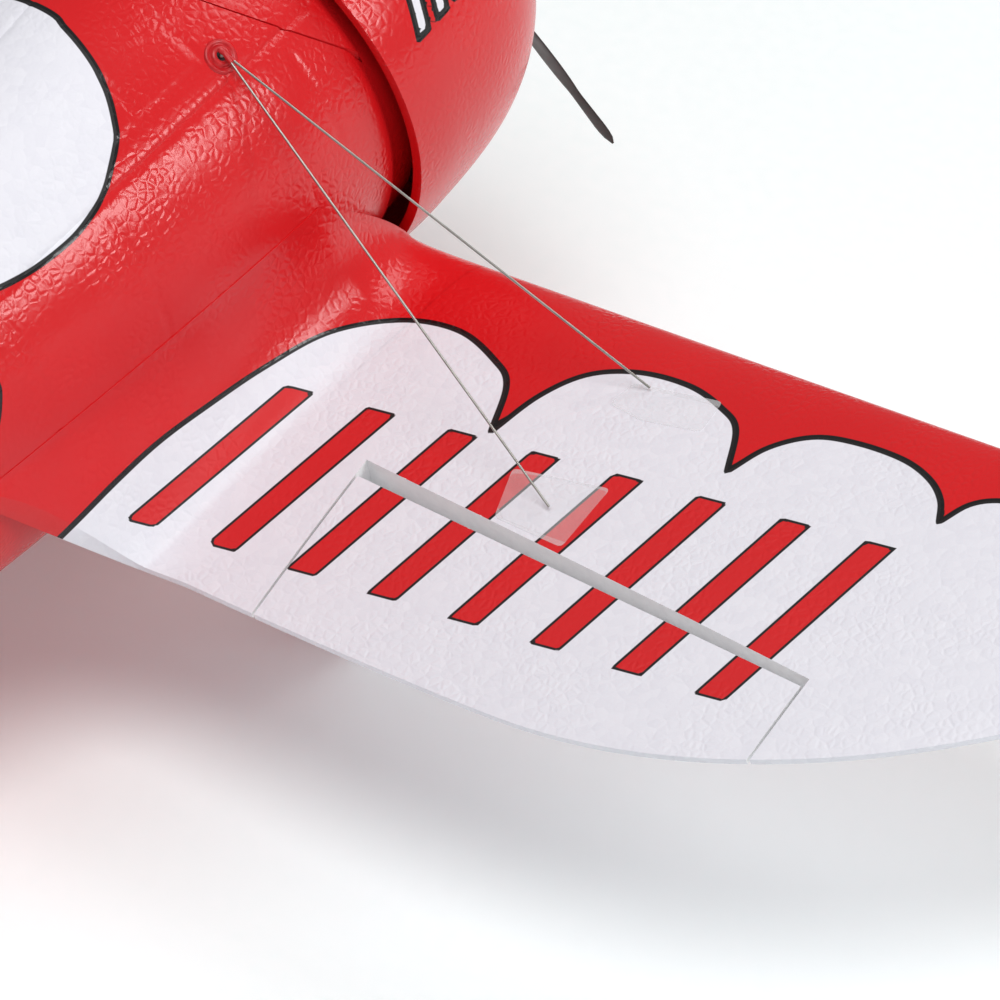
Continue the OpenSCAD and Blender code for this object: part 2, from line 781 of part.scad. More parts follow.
// The part of the tail wheel's fork that is moulded into the rudder's foot
module fork_stem() {
    bar([0, tail_wheel_y, rudder_foot_z + 3], [0, tail_wheel_y, fork_top_z()], 0.9);
}
function fork_top_z() = tail_wheel_r + 2.5 - tail_wheel_drop;

module rudder_horn() {
    z = stab_z - tail_arm - 1;
    y = rudder_hinge_y;
    color("whitesmoke") stand() difference() {
        translate([0, 0, z - 0.6]) linear_extrude(1.2) polygon([
            [rudder_rod_x - 2.4, y - 2.4], [rudder_rod_x - 2.4, y + 2.4],
            [-tail_t / 2, y + 8], [-tail_t / 2, y + 1.2], [rudder_rod_x + 2.4, y - 0.6],
            [rudder_rod_x + 0.6, y - 2.4]]);
        translate([rudder_rod_x, y, z]) cylinder(h = 6, r = tail_hole_r, center = true);
    }
}

// Ends of the two long push-rods
function elevator_rod_points() = [[elevator_rod_x - 4, tail_servo_y + 12, tray_z + 6.6],
    [elevator_rod_x - 2.5, elevator_hinge_y, stab_z - tail_arm]];
function rudder_rod_points() = [[rudder_rod_x - 2, tail_servo_y + 12, tray_z + 6.6],
    [rudder_rod_x, rudder_hinge_y, stab_z - tail_arm - 3.4]];

module elevator_rod() {
    p = elevator_rod_points();
    color("silver") stand() {
        translate(p[0] + [-2, -3, -2.4]) cube([4, 4, 3]);
        bent_wire([p[0], p[1], p[1] + [4, 0, 0]], rod_r);
    }
}

module rudder_rod() {
    p = rudder_rod_points();
    color("silver") stand() {
        translate(p[0] + [-2, -3, -2.4]) cube([4, 4, 3]);
        bent_wire([p[0], p[1], p[1] + [0, 0, 4]], rod_r);
    }
}

module tail_fork() {
    z = -tail_wheel_drop;
    w = tail_wheel_w / 2 + 0.9;
    top = fork_top_z();
    color("silver") stand() {
        fork_stem();
        bar([-w, tail_wheel_y, top], [w, tail_wheel_y, top], 0.6);
        for (s = [-1, 1]) bar([s * w, tail_wheel_y, top], [s * w, tail_wheel_y, z], 0.6);
        bar([-w - 0.6, tail_wheel_y, z], [w + 0.6, tail_wheel_y, z], 0.6);
    }
}

module tail_wheel() {
    color([0.1, 0.1, 0.1]) stand() translate([0, tail_wheel_y, -tail_wheel_drop]) rotate([0, 90, 0])
        rotate_extrude() translate([0.6 + axle_play, 0]) tyre_section(tail_wheel_r - 0.6 - axle_play,
            tail_wheel_w);
}

// ---- Cockpit ----
module canopy_form(grow) {
    steps = 8;
    len_y = canopy_y[1] - canopy_y[0];
    skin([for (k = [0:steps])
        let(u = 0.04 + 0.92 * k / steps, y = canopy_y[0] + len_y * u,
            f = sin(180 * u ^ 0.75) ^ 0.6,
            w = max(1.5, (canopy_half_w + grow) * f), h = max(1.5, (canopy_h + grow) * f))
        [for (a = [0:30:330]) [w * cos(a), y + grow * (2 * u - 1), back_z(y) - 4 + (h + 4) * sin(a)]]]);
}

module canopy() {
    color("lightblue") stand() difference() {
        canopy_form(0);
        canopy_form(-1);
        both_sides() half_body(0, tail_y, 0);
        fin_solid();
    }
}

module cockpit_seat() {
    y = canopy_y[0] + 27;
    color("dimgray") stand() translate([-cockpit_half_w, y, fin_base_z - 2]) {
        cube([2 * cockpit_half_w, 9, 2]);
        translate([0, 9, 0]) cube([2 * cockpit_half_w, 2, 12]);
    }
}

module instrument_panel() {
    y = canopy_y[0] + 14;
    color("black") stand() translate([-cockpit_half_w, y, fin_base_z - 2])
        cube([2 * cockpit_half_w, 1.5, back_z(y) - fin_base_z + 4]);
}

// ---- Undercarriage ----
module tyre_section(depth, width) {
    polygon([[0, -width / 2 + 0.8], [depth * 0.55, -width / 2], [depth * 0.85, -width * 0.42],
        [depth * 0.97, -width * 0.25], [depth, 0], [depth * 0.97, width * 0.25],
        [depth * 0.85, width * 0.42], [depth * 0.55, width / 2], [0, width / 2 - 0.8]]);
}

module at_wheel(side) {
    on_side(side) mirror([1, 0, 0]) translate([wheel_x, wheel_y, -wheel_drop]) rotate([0, 90, 0]) children();
}

module tyre(side) {
    at_wheel(side) rotate_extrude() translate([hub_r, 0]) tyre_section(wheel_r - hub_r, wheel_w);
}

module wheel_hub(side) {
    at_wheel(side) difference() {
        union() {
            cylinder(h = wheel_w - 1.6, r = hub_r, center = true);
            cylinder(h = wheel_w, r = hub_boss_r, center = true);
        }
        cylinder(h = wheel_w + 2, r = axle_r + axle_play, center = true);
        for (k = [0:4], face = [0, 1]) mirror([0, 0, face]) rotate([0, 0, 72 * k])
            translate([4.6, 0, 1]) cylinder(h = 5, r = 1.4);
    }
}

module tyre_left() {
    color([0.13, 0.13, 0.13]) stand() tyre(1);
}

module tyre_right() {
    color([0.13, 0.13, 0.13]) stand() tyre(-1);
}

module wheel_hub_left() {
    color("whitesmoke") stand() wheel_hub(1);
}

module wheel_hub_right() {
    color("whitesmoke") stand() wheel_hub(-1);
}

module gear_wire(side) {
    on_side(side) mirror([1, 0, 0]) {
        translate([gear_wire_x(), wheel_y, -wheel_drop]) {
            cylinder(h = wheel_drop + wing_root_z + 2, r = axle_r);
            sphere(r = axle_r);
            rotate([0, 90, 0]) cylinder(h = wheel_w + 4, r = axle_r);
        }
        // collar that keeps the wheel on
        translate([wheel_x + wheel_w / 2 + 0.6, wheel_y, -wheel_drop]) rotate([0, 90, 0])
            cylinder(h = 1.6, r = 1.8);
    }
}

module gear_wire_left() {
    color("silver") stand() gear_wire(1);
}

module gear_wire_right() {
    color("silver") stand() gear_wire(-1);
}

// Streamlined fairing over the wheel and its leg
module pant_form() {
    top = wing_z(wheel_x) - 0.4;
    bottom = -wheel_drop - wheel_r * 0.25;
    steps = 10;
    skin([for (k = [0:steps])
        let(u = k / steps, z = top + (bottom - top) * u,
            full = sin(90 * min(1, u / 0.75)) ^ 1.3,
            foot = u > 0.75 ? 1 - 0.35 * ((u - 0.75) / 0.25) ^ 2 : 1,
            w = (4.5 + (wheel_w / 2 + pant_side_gap) * full) * foot,
            nose = wheel_y - 10 - 13 * full * foot, tail = wheel_y + 38 + 6 * full * foot ^ 3)
        [for (a = [0:18:342])
            let(s = (1 - cos(a)) / 2)
            [wheel_x + w * sign(sin(a)) * abs(sin(a)) ^ 0.9 * (1 - 0.45 * s),
                nose + (tail - nose) * s ^ 1.15, z]]]);
}

module wheel_pant(side) {
    on_side(side) mirror([1, 0, 0]) difference() {
        pant_form();
        wing_form();
        translate([wheel_x, wheel_y, -wheel_drop]) rotate([0, 90, 0])
            cylinder(h = wheel_w + 2 * pant_side_gap, r = wheel_r + pant_gap, center = true);
        translate([wheel_x - wheel_w / 2 - pant_side_gap, wheel_y - wheel_r - pant_gap, -wheel_drop - 40])
            cube([wheel_w + 2 * pant_side_gap, 2 * (wheel_r + pant_gap), 40]);
        translate([gear_wire_x(), wheel_y, -wheel_drop]) cylinder(h = far / 4, r = axle_r);
    }
}

module wheel_pant_left() {
    color("red") stand() wheel_pant(1);
}

module wheel_pant_right() {
    color("red") stand() wheel_pant(-1);
}

// ---- Inside the fuselage ----
function tray_half(y) = (body_w(y) - foam_wall) * sqrt(1 - (tray_z / (belly_z(y) - foam_wall)) ^ 2) - 0.6;

module equipment_tray() {
    ys = [0, 20, 45, 70, 95, 112];
    color("dimgray") stand() translate([0, 0, tray_z - tray_t]) linear_extrude(tray_t) polygon(concat(
        [for (y = ys) [tray_half(y), y - 1.9]],
        [for (k = [5:-1:0]) [-tray_half(ys[k]), ys[k] - 1.9]]));
}

module battery() {
    color("steelblue") stand() translate([-15, 6, tray_z]) cube([30, 46, 13]);
}

module battery_plug() {
    color("white") stand() translate([-4, 52, tray_z + 3]) cube([8, 8, 5]);
}

module flight_board() {
    color("darkgreen") stand() translate([-16, board_y, tray_z]) {
        cube([32, 16, 1.6]);
        translate([4, 3, 1.6]) cube([9, 9, 1.8]);
        translate([19, 4, 1.6]) cube([7, 7, 1.4]);
    }
}

module tail_servo(x) {
    translate([x - 4, tail_servo_y, tray_z]) difference() {
        cube([8, 26, 6]);
        translate([1.6, 3, 4]) cube([4.8, 20, 3]);
    }
}

module rudder_servo() {
    color("darkslategray") stand() tail_servo(rudder_rod_points()[0].x);
}

module elevator_servo() {
    color("darkslategray") stand() tail_servo(elevator_rod_points()[0].x);
}

fuselage_left();
fuselage_right();
battery_hatch();
hatch_ledge();
hatch_magnet();
ledge_magnet();
cowl();
dummy_engine();
firewall();
firewall_screws();
motor_mount();
motor_stator();
motor_bell();
motor_shaft();
propeller();
spinner();
equipment_tray();
battery();
battery_plug();
flight_board();
rudder_servo();
elevator_servo();
rudder_rod();
elevator_rod();
wing_left();
wing_right();
wing_spar_left();
wing_spar_right();
aileron_left();
aileron_right();
aileron_horn_left();
aileron_horn_right();
aileron_servo_left();
aileron_servo_right();
aileron_rod_left();
aileron_rod_right();
stabilizer();
elevator_left();
elevator_right();
elevator_joiner();
elevator_horn();
fin();
rudder();
rudder_horn();
tail_fork();
tail_wheel();
canopy();
cockpit_seat();
instrument_panel();
gear_wire_left();
gear_wire_right();
wheel_pant_left();
wheel_pant_right();
tyre_left();
tyre_right();
wheel_hub_left();
wheel_hub_right();
wire_bosses();
flying_wires();
wire_anchors();
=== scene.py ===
import json
import math
import bmesh
import bpy
import numpy as np
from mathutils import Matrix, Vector


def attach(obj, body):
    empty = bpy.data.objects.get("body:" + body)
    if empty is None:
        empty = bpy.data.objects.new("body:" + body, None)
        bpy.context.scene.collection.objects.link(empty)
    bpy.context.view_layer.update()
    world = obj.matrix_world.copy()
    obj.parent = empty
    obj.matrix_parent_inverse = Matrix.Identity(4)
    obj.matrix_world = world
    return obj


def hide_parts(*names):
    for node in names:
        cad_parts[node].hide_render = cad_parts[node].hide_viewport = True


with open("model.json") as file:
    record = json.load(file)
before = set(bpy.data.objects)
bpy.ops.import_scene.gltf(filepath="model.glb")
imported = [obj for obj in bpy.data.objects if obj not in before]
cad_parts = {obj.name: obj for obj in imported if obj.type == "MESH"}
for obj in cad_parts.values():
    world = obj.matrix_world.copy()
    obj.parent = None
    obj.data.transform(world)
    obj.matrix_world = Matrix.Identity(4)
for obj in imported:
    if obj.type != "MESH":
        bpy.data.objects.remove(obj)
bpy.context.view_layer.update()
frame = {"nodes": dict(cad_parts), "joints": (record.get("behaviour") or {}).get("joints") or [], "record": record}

# ---------------------------------------------------------------- the level aeroplane
# Pieces are drawn in millimetres on the level aeroplane: x to port, y aft from the cowl's rear rim,
# z up from the thrust line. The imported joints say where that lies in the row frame.
MM = 0.001
JOINTS = {j["name"]: j for j in frame["joints"]}
PROP_Y = -66.0
NOSE = Vector(JOINTS["propeller_spin"]["pos_m"])
AFT = (Vector(JOINTS["rudder_hinge"]["pos_m"]) - NOSE).normalized()
UP = Vector(JOINTS["rudder_hinge"]["axis"]).normalized()
PORT = AFT.cross(UP)
AXES = np.array([PORT, AFT, UP])
ORIGIN = np.array(NOSE) - PROP_Y * MM * np.array(AFT)
SIDES = ((1, "left"), (-1, "right"))
FORWARD = (0, -1, 0)


def placed(points):
    """Level millimetres to row-frame metres."""
    return np.asarray(points, float) @ AXES * MM + ORIGIN


# ---------------------------------------------------------------- sizes of the aeroplane, mm
COWL_R, COWL_SWELL, COWL_LEN, COWL_WALL, COWL_DROOP, INTAKE_R = 53.5, 0.9, 61, 2, 19, 33
NOSE_R, BODY_W, BACK_H, BELLY_H, TAIL_Y, FOAM = 48.5, 48.5, 51.5, 48.5, 261, 5
HATCH_R, HATCH_Y, HATCH_FRONT, PLAY = 49.6, -24, 0.6, 0.3
SPAN, CHORD, ROOT_X, ROOT_Z, DIHEDRAL, ROOT_T, TIP_T = 255, 99, 46.3, -29, 4.5, 10.5, 5
CROWN_X, ROOT_FALL, TIP_X, TIP_SWEEP, TIP_FALL = 137, 10, 200, 30, 62.7
FAIR_Z, FAIR_W, FAIR_AFT, FAIR_LIFT = 4.5, 14, 22, 32
AIL_IN, AIL_OUT, HINGE_IN, HINGE_OUT, HINGE_LIFT = 77.4, 186.3, 56.7, 67.6, 0.4
AIL_SLANT = 26
STAB_HALF, STAB_Z, STAB_FRONT, ELEV_Y, ELEV_CHORD, ELEV_IN = 90, 8, 221, 253, 21, 12
FIN_TOP, FIN_BASE, FIN_FRONT, RUD_Y, RUD_CHORD, TAIL_T = 80, 24, 199, 263, 22, 4
WHEEL = np.array([64.0, 18.0, -75.0])
WHEEL_R, WHEEL_W, HUB_R = 15, 9, 7
PROP_R, PROP_ANGLE = 77, 54
BOSS_Y, BOSS_ANGLE = 26, 49
ANCHOR_X, ANCHOR_Y = 117.5, (18.9, 53.1)
CANOPY_Y, CANOPY_W, CANOPY_H = (149, 205), 12, 16
WELL_R, WELL_HALF = 16.5, 7
# Arc length of one degree round the body and round the cowl
BODY_ARC, COWL_ARC = 0.87, 0.93
# How near a face's middle lies to a cut for it to count as cut foam
ON_FACE, ON_END = 0.02, 0.01


# ---------------------------------------------------------------- forms
def cosd(a):
    return np.cos(np.radians(a))


def sind(a):
    return np.sin(np.radians(a))


def swell(y, start, most, end):
    return start + (most - start) * (1 - (1 - np.clip(y, 0, end) / end) ** 2)


def fade(y, start, length, power):
    return 1 - (np.maximum(0, y - start) / length) ** power


def body_w(y):
    return swell(y, NOSE_R, BODY_W, 20) * fade(y, 20, TAIL_Y - 3, 1.25)


def back_z(y):
    return swell(y, NOSE_R, BACK_H, 40) * fade(y, 40, 1.42 * TAIL_Y, 1.6)


def belly_z(y):
    return swell(y, NOSE_R, BELLY_H, 40) * fade(y, 40, 1.11 * TAIL_Y, 1.5)


def body_point(y, a, inset=0.0):
    """Surface of the fuselage at a station and an angle from the side upwards."""
    high = np.where(np.asarray(a) > 0, back_z(y), belly_z(y))
    w = body_w(y)
    cut = np.minimum(inset, 0.8 * w)
    return np.stack(np.broadcast_arrays((w - cut) * cosd(a), y, (high - cut) * sind(a)), -1)


def cowl_r(d):
    return (COWL_R + COWL_SWELL * sind(90 * np.minimum(1, 5 * d / COWL_LEN))
            - COWL_DROOP * np.maximum(0, 1.25 * d / COWL_LEN - 0.25) ** 3.3)


def tip_round(x):
    u = np.clip((x - TIP_X) / (SPAN - TIP_X), 0, 1)
    return 1 - np.sqrt(1 - u ** 2)


def front_y(x):
    return TIP_SWEEP * tip_round(x)


def rear_base_y(x):
    outer = TIP_FALL * (np.maximum(0, x - CROWN_X) / (SPAN - CROWN_X)) ** 2
    inner = ROOT_FALL * (np.maximum(0, CROWN_X - x) / CROWN_X) ** 1.5
    return CHORD - outer - inner


def rear_y(x):
    return rear_base_y(x) - (rear_base_y(SPAN) - TIP_SWEEP) * tip_round(x)


def wing_z(x):
    return ROOT_Z + (x - ROOT_X) * math.tan(math.radians(DIHEDRAL))


def wing_t(x):
    taper = ROOT_T + (TIP_T - ROOT_T) * np.maximum(0, x - ROOT_X) / (SPAN - ROOT_X)
    return taper * np.sqrt(np.minimum(1, (rear_y(x) - front_y(x)) / 45))


def bulge(s):
    return 5 * (0.2969 * np.sqrt(s) - 0.126 * s - 0.3516 * s ** 2 + 0.2843 * s ** 3 - 0.1015 * s ** 4)


def chord_y(x, s):
    return front_y(x) + (rear_y(x) - front_y(x)) * s


def chord_s(x, y):
    return np.clip((y - front_y(x)) / (rear_y(x) - front_y(x)), 0, 1)


def top_z(x, s):
    return wing_z(x) + 1.4 * wing_t(x) * bulge(s) + 0.6 * s


def under_z(x, s):
    return wing_z(x) - 0.6 * wing_t(x) * bulge(s) - 0.6 * s


def fairing_point(d, s, up):
    """Root fairing: d is 0 at the fuselage and 1 where the plain wing starts."""
    near = max(0.0, d)
    aft = (1 - near) ** 2
    x1 = ROOT_X + FAIR_W
    y = chord_y(x1, s) + FAIR_AFT * aft * s ** 2
    x = body_w(y) + d * FAIR_W + (1 - s) * 3 * near
    plain = (top_z(x1, s) if up else under_z(x1, s)) + FAIR_LIFT * aft * s ** 3
    plain = plain - (x1 - x) * math.tan(math.radians(DIHEDRAL))
    if up:
        rise = np.maximum(0, FAIR_Z - plain) * (1 - math.sqrt(1 - (1 - near) ** 2))
        plain = plain + rise * np.minimum(1, 4 * s)
    return np.stack([x, y, plain], -1)


def hinge_y(x):
    return HINGE_IN + (HINGE_OUT - HINGE_IN) * (x - AIL_IN) / (AIL_OUT - AIL_IN)


def hinge_point(x):
    return np.array([x, hinge_y(x), float(under_z(x, chord_s(x, hinge_y(x)))) + HINGE_LIFT])


# ---------------------------------------------------------------- meshes
def loft(rings, caps=True):
    """A skin through closed rings that all have the same number of points."""
    rings = np.asarray(rings, float)
    n, m = rings.shape[:2]
    at = np.arange(n * m).reshape(n, m)
    turn = np.roll(at, -1, axis=1)
    faces = np.stack([at[:-1], turn[:-1], turn[1:], at[1:]], -1).reshape(-1, 4).tolist()
    if caps:
        faces += [at[0][::-1].tolist(), at[-1].tolist()]
    return rings.reshape(-1, 3), faces


def mirrored(shape):
    """The same shape on the starboard side, with its faces still outwards."""
    points, faces = shape
    return points * [-1, 1, 1], [f[::-1] for f in faces]


def on_side(shape, side):
    """A port shape as it is, or its mirror image to starboard."""
    return shape if side > 0 else mirrored(shape)


def turned(first, second, degrees):
    """A pair of coordinates turned from the first axis towards the second."""
    c, s = math.cos(math.radians(degrees)), math.sin(math.radians(degrees))
    return first * c - second * s, first * s + second * c


def joined(*shapes):
    points, faces = [], []
    for p, f in shapes:
        start = sum(len(q) for q in points)
        points.append(p)
        faces += [[start + i for i in face] for face in f]
    return np.concatenate(points), faces


def raw_object(name, shape):
    mesh = bpy.data.meshes.new(name)
    mesh.from_pydata(np.asarray(shape[0]).tolist(), [], shape[1])
    mesh.validate()
    obj = bpy.data.objects.new(name, mesh)
    bpy.context.scene.collection.objects.link(obj)
    return obj


def outward(mesh, weld=0.0):
    bm = bmesh.new()
    bm.from_mesh(mesh)
    if weld:
        bmesh.ops.remove_doubles(bm, verts=bm.verts, dist=weld)
    bmesh.ops.recalc_face_normals(bm, faces=bm.faces)
    bm.to_mesh(mesh)
    bm.free()


def carved(shape, *cutters, keep=False):
    """The shape with the cutters taken away, or only what they share."""
    obj = raw_object("work", shape)
    outward(obj.data)
    tools = []
    for cutter in cutters:
        tool = raw_object("tool", cutter)
        outward(tool.data)
        cut = obj.modifiers.new("cut", "BOOLEAN")
        cut.operation = "INTERSECT" if keep else "DIFFERENCE"
        cut.solver = "EXACT"
        cut.object = tool
        tools.append(tool)
    mesh = bpy.data.meshes.new_from_object(obj.evaluated_get(bpy.context.evaluated_depsgraph_get()))
    points = np.empty(len(mesh.vertices) * 3)
    mesh.vertices.foreach_get("co", points)
    faces = [list(p.vertices) for p in mesh.polygons]
    for o in [obj, *tools]:
        bpy.data.objects.remove(o)
    return points.reshape(-1, 3), faces


def block(low, high):
    """A box given by two corners."""
    c = np.array([[x, y, z] for z in (low[2], high[2]) for x, y in
                  ((low[0], low[1]), (high[0], low[1]), (high[0], high[1]), (low[0], high[1]))], float)
    return c, [[3, 2, 1, 0], [4, 5, 6, 7], [0, 1, 5, 4], [1, 2, 6, 5], [2, 3, 7, 6], [3, 0, 4, 7]]


def prism(outline, low, high):
    """An outline in x and y, raised from low to high."""
    flat = np.asarray(outline, float)
    return loft([np.c_[flat, np.full(len(flat), z)] for z in (low, high)])


def spun(profile, centre, axis, turns=96):
    """A profile of (radius, distance along the axis) pairs turned round an axis through centre."""
    axis = np.array(axis, float)
    first = np.cross(axis, [0, 0, 1.0])
    if np.linalg.norm(first) < 1e-6:
        first = np.array([1.0, 0, 0])
    first = first / np.linalg.norm(first)
    second = np.cross(axis, first)
    a = np.linspace(0, 2 * np.pi, turns, endpoint=False)
    circle = np.outer(np.cos(a), first) + np.outer(np.sin(a), second)
    profile = np.asarray(profile, float)
    return loft([centre + axis * h + circle * max(r, 1e-3) for r, h in profile])


def ring_spun(profile, centre, axis, turns=96):
    """As spun(), for a profile that closes on itself, such as a tyre's."""
    points, faces = spun(np.vstack([profile, profile[:1]]), centre, axis, turns)
    return points, faces[:-2]


def smooth_line(corners, steps=8):
    """A rounded line through the corners."""
    p = np.asarray(corners, float)
    p = np.vstack([2 * p[0] - p[1], p, 2 * p[-1] - p[-2]])
    t = np.linspace(0, 1, steps, endpoint=False)[:, None]
    out = []
    for a, b, c, d in zip(p, p[1:], p[2:], p[3:]):
        bend = (2 * a - 5 * b + 4 * c - d) * t ** 2 + (3 * b - a - 3 * c + d) * t ** 3
        out.append(0.5 * (2 * b + (c - a) * t + bend))
    return np.vstack(out + [p[-2]])


def inside_by(u, v, outline):
    """Distance in mm to a closed outline, positive inside it."""
    u, v = np.asarray(u, float), np.asarray(v, float)
    far, inside = np.full(u.shape, 1e9), np.zeros(u.shape, bool)
    for p, q in zip(outline, np.roll(outline, -1, axis=0)):
        d = q - p
        t = np.clip(((u - p[0]) * d[0] + (v - p[1]) * d[1]) / max(d @ d, 1e-9), 0, 1)
        far = np.minimum(far, np.hypot(u - p[0] - t * d[0], v - p[1] - t * d[1]))
        if p[1] != q[1]:
            inside ^= ((p[1] > v) != (q[1] > v)) & (u < d[0] * (v - p[1]) / d[1] + p[0])
    return np.where(inside, far, -far)


# ---------------------------------------------------------------- the painted trim
# White scallops with a black edge, as lines between the red and the white; each cusp starts a line.
WING_LOBES = [
    [(30, 104), (31.6, 92), (32.6, 77), (34, 65), (37, 53), (41, 40), (47, 27), (58, 18.4), (70, 16.2),
     (81, 20), (87, 24.6), (91.5, 36.4)],
    [(91.5, 36.4), (94.5, 24.5), (100, 15.8), (109, 11.2), (120, 10.3), (129, 12.8), (134.6, 16.4),
     (139.4, 26.5)],
    [(139.4, 26.5), (143, 18), (149.5, 12), (158, 9.9), (168.5, 9.9), (176, 12.2), (181, 16), (184, 21)],
    [(184, 21), (187, 14.5), (193, 11), (204, 9.5), (216, 11.5), (226, 17), (232, 26)],
    [(232, 26), (237, 22.5), (244, 24), (252, 33), (262, 52)],
]
TOP_LOBES = [
    [(41, -20), (41, 3.5), (42.5, 9.6), (44.5, 16.1), (46.5, 21.3), (49, 26.1), (52, 30.5), (54.5, 33.5),
     (59, 36.5), (63.5, 39.2), (68.5, 40.9), (76, 41.8), (87, 40.5), (98, 36.5), (107, 30), (112, 23)],
    [(112, 23), (121, 29.5), (135, 32), (150, 29), (163, 18)],
    [(163, 18), (172, 23), (186, 25), (210, 23), (270, 17)],
]
SIDE_LOBES = [
    [(270, 41), (220, 44), (190, 46), (160, 45)],
    [(160, 45), (145, 41), (130, 40), (117, 42.5), (109, 46.5), (105, 51), (104.2, 55), (105.8, 58.6),
     (108, 62), (112, 66.5), (120, 73), (132, 80), (144, 84)],
    [(144, 84), (156, 92), (176, 98), (200, 98)],
    [(200, 98), (220, 104), (270, 110)],
]
STAB_LOBES = [
    [(14, 300), (14, 243), (16, 233), (24, 227.5), (34, 226.5), (43, 230), (48, 238)],
    [(48, 238), (55, 231.5), (64, 231), (72, 236), (76, 244)],
    [(76, 244), (81, 241.5), (86, 247), (96, 262)],
]
FIN_LOBES = [
    [(10, 300), (12, 222), (19, 212), (28, 207), (38, 208.5), (45, 220)],
    [(45, 220), (52, 216.5), (60, 220), (65, 232)],
    [(65, 232), (71, 231), (77, 241), (88, 262)],
]
SPAT_LOBES = [
    [(90, -20), (48, -27), (38, -34), (37, -44), (44, -51)],
    [(44, -51), (36, -56), (33, -65), (38, -76), (52, -86), (90, -90)],
]


def trim_outline(lobes, *closing):
    return np.vstack([smooth_line(line) for line in lobes] + [np.array(closing, float).reshape(-1, 2)])


WING_TRIM = trim_outline(WING_LOBES, (262, 130), (30, 130))
TOP_TRIM = trim_outline(TOP_LOBES, (270, -20))
SIDE_TRIM = trim_outline(SIDE_LOBES)
STAB_TRIM = trim_outline(STAB_LOBES, (96, 300))
FIN_TRIM = trim_outline(FIN_LOBES, (88, 300))
SPAT_TRIM = trim_outline(SPAT_LOBES)
# A row of plain slanted bars across each wing's upper side
BARS = [np.array([(r + 4.6, f), (r + 10.6, f - 0.6), (r + 3.2, b - 0.6), (r - 2.8, b)])
        for r, f, b in zip(np.linspace(43, 169.5, 8), np.linspace(42.5, 31, 8), np.linspace(85, 77.5, 8))]


def inside_bar(u, v, corners):
    """Distance in mm to a four-sided bar, positive inside it, with sharp corners outside it too."""
    middle = corners.mean(0)
    sides = []
    for p, q in zip(corners, np.roll(corners, -1, axis=0)):
        across = np.array([q[1] - p[1], p[0] - q[0]]) / np.linalg.norm(q - p)
        across = across if (middle - p) @ across > 0 else -across
        sides.append((u - p[0]) * across[0] + (v - p[1]) * across[1])
    return np.min(sides, axis=0)


def wing_paint(p):
    """Trim and bars on a wing; the pattern was sprayed on at a slant to the upper side."""
    lift = p[:, 2] - wing_z(np.abs(p[:, 0]))
    r, y = np.abs(p[:, 0]) - 0.665 * lift, p[:, 1] - 0.7475 * lift
    bars = np.max([inside_bar(r, y, bar) for bar in BARS], axis=0)
    return {"trim": inside_by(r, y, WING_TRIM), "bars": np.where(p[:, 3] > 0, bars, -9)}


def body_paint(p):
    y = p[:, 1]
    high = np.where(p[:, 2] > 0, back_z(y), belly_z(y))
    a = np.degrees(np.arctan2(p[:, 2] / high, np.abs(p[:, 0]) / body_w(y)))
    w = BODY_ARC * (90 - a)
    return {"trim": np.maximum(inside_by(y, w, TOP_TRIM), inside_by(y, w, SIDE_TRIM))}


def stab_paint(p):
    return {"trim": inside_by(np.abs(p[:, 0]), p[:, 1], STAB_TRIM)}


def fin_paint(p):
    return {"trim": inside_by(p[:, 2], p[:, 1], FIN_TRIM)}


def spat_paint(p):
    return {"trim": inside_by(p[:, 1], p[:, 2], SPAT_TRIM)}


def cowl_paint(p):
    """Three plain white slanted bars on each of the cowl's cheeks."""
    up = np.degrees(np.arctan2(p[:, 2], np.abs(p[:, 0]))) * COWL_ARC
    mark = np.array([(9, 20.5), (12.4, 20.5), (15.4, 28.5), (12, 28.5)])
    marks = [inside_bar(-p[:, 1], up, mark + [gap, 0]) for gap in (0, 6.2, 12.4)]
    return {"trim": np.max(marks, axis=0)}


def red_paint(p):
    return {"trim": np.full(len(p), -9.0)}


def piece(name, shape, body, nodes, materials, paint=None, sharp=34, choose=None, weld=0.0):
    """A finished piece: its shape in the row frame, riding on a body in place of CAD nodes."""
    obj = raw_object(name, shape)
    mesh = obj.data
    outward(mesh, weld)
    count = len(mesh.vertices)
    level = np.empty(count * 3)
    mesh.vertices.foreach_get("co", level)
    level = level.reshape(-1, 3)
    for material in materials if isinstance(materials, list) else [materials]:
        mesh.materials.append(material)
    mesh.polygons.foreach_set("use_smooth", [True] * len(mesh.polygons))
    mesh.set_sharp_from_angle(angle=math.radians(sharp))
    if paint:
        normals = np.empty(count * 3)
        mesh.vertices.foreach_get("normal", normals)
        values = paint(np.c_[level, normals.reshape(-1, 3)[:, 2]])
        values.setdefault("bars", np.full(count, -9.0))
        for key, value in values.items():
            layer = mesh.attributes.new(key, "FLOAT", "POINT")
            layer.data.foreach_set("value", np.clip(value, -9, 9).astype(np.float32))
    if choose:
        centres = np.empty(len(mesh.polygons) * 3)
        mesh.polygons.foreach_get("center", centres)
        mesh.polygons.foreach_set("material_index", choose(centres.reshape(-1, 3)).astype(np.int32))
    mesh.vertices.foreach_set("co", placed(level).ravel())
    mesh.update()
    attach(obj, body)
    if nodes:
        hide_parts(*nodes)
    return obj


# ---------------------------------------------------------------- materials
def linear(code):
    """An sRGB hex colour as linear red, green, blue and alpha."""
    part = [int(code[i:i + 2], 16) / 255 for i in (1, 3, 5)]
    return tuple(c / 12.92 if c <= 0.04045 else ((c + 0.055) / 1.055) ** 2.4 for c in part) + (1.0,)


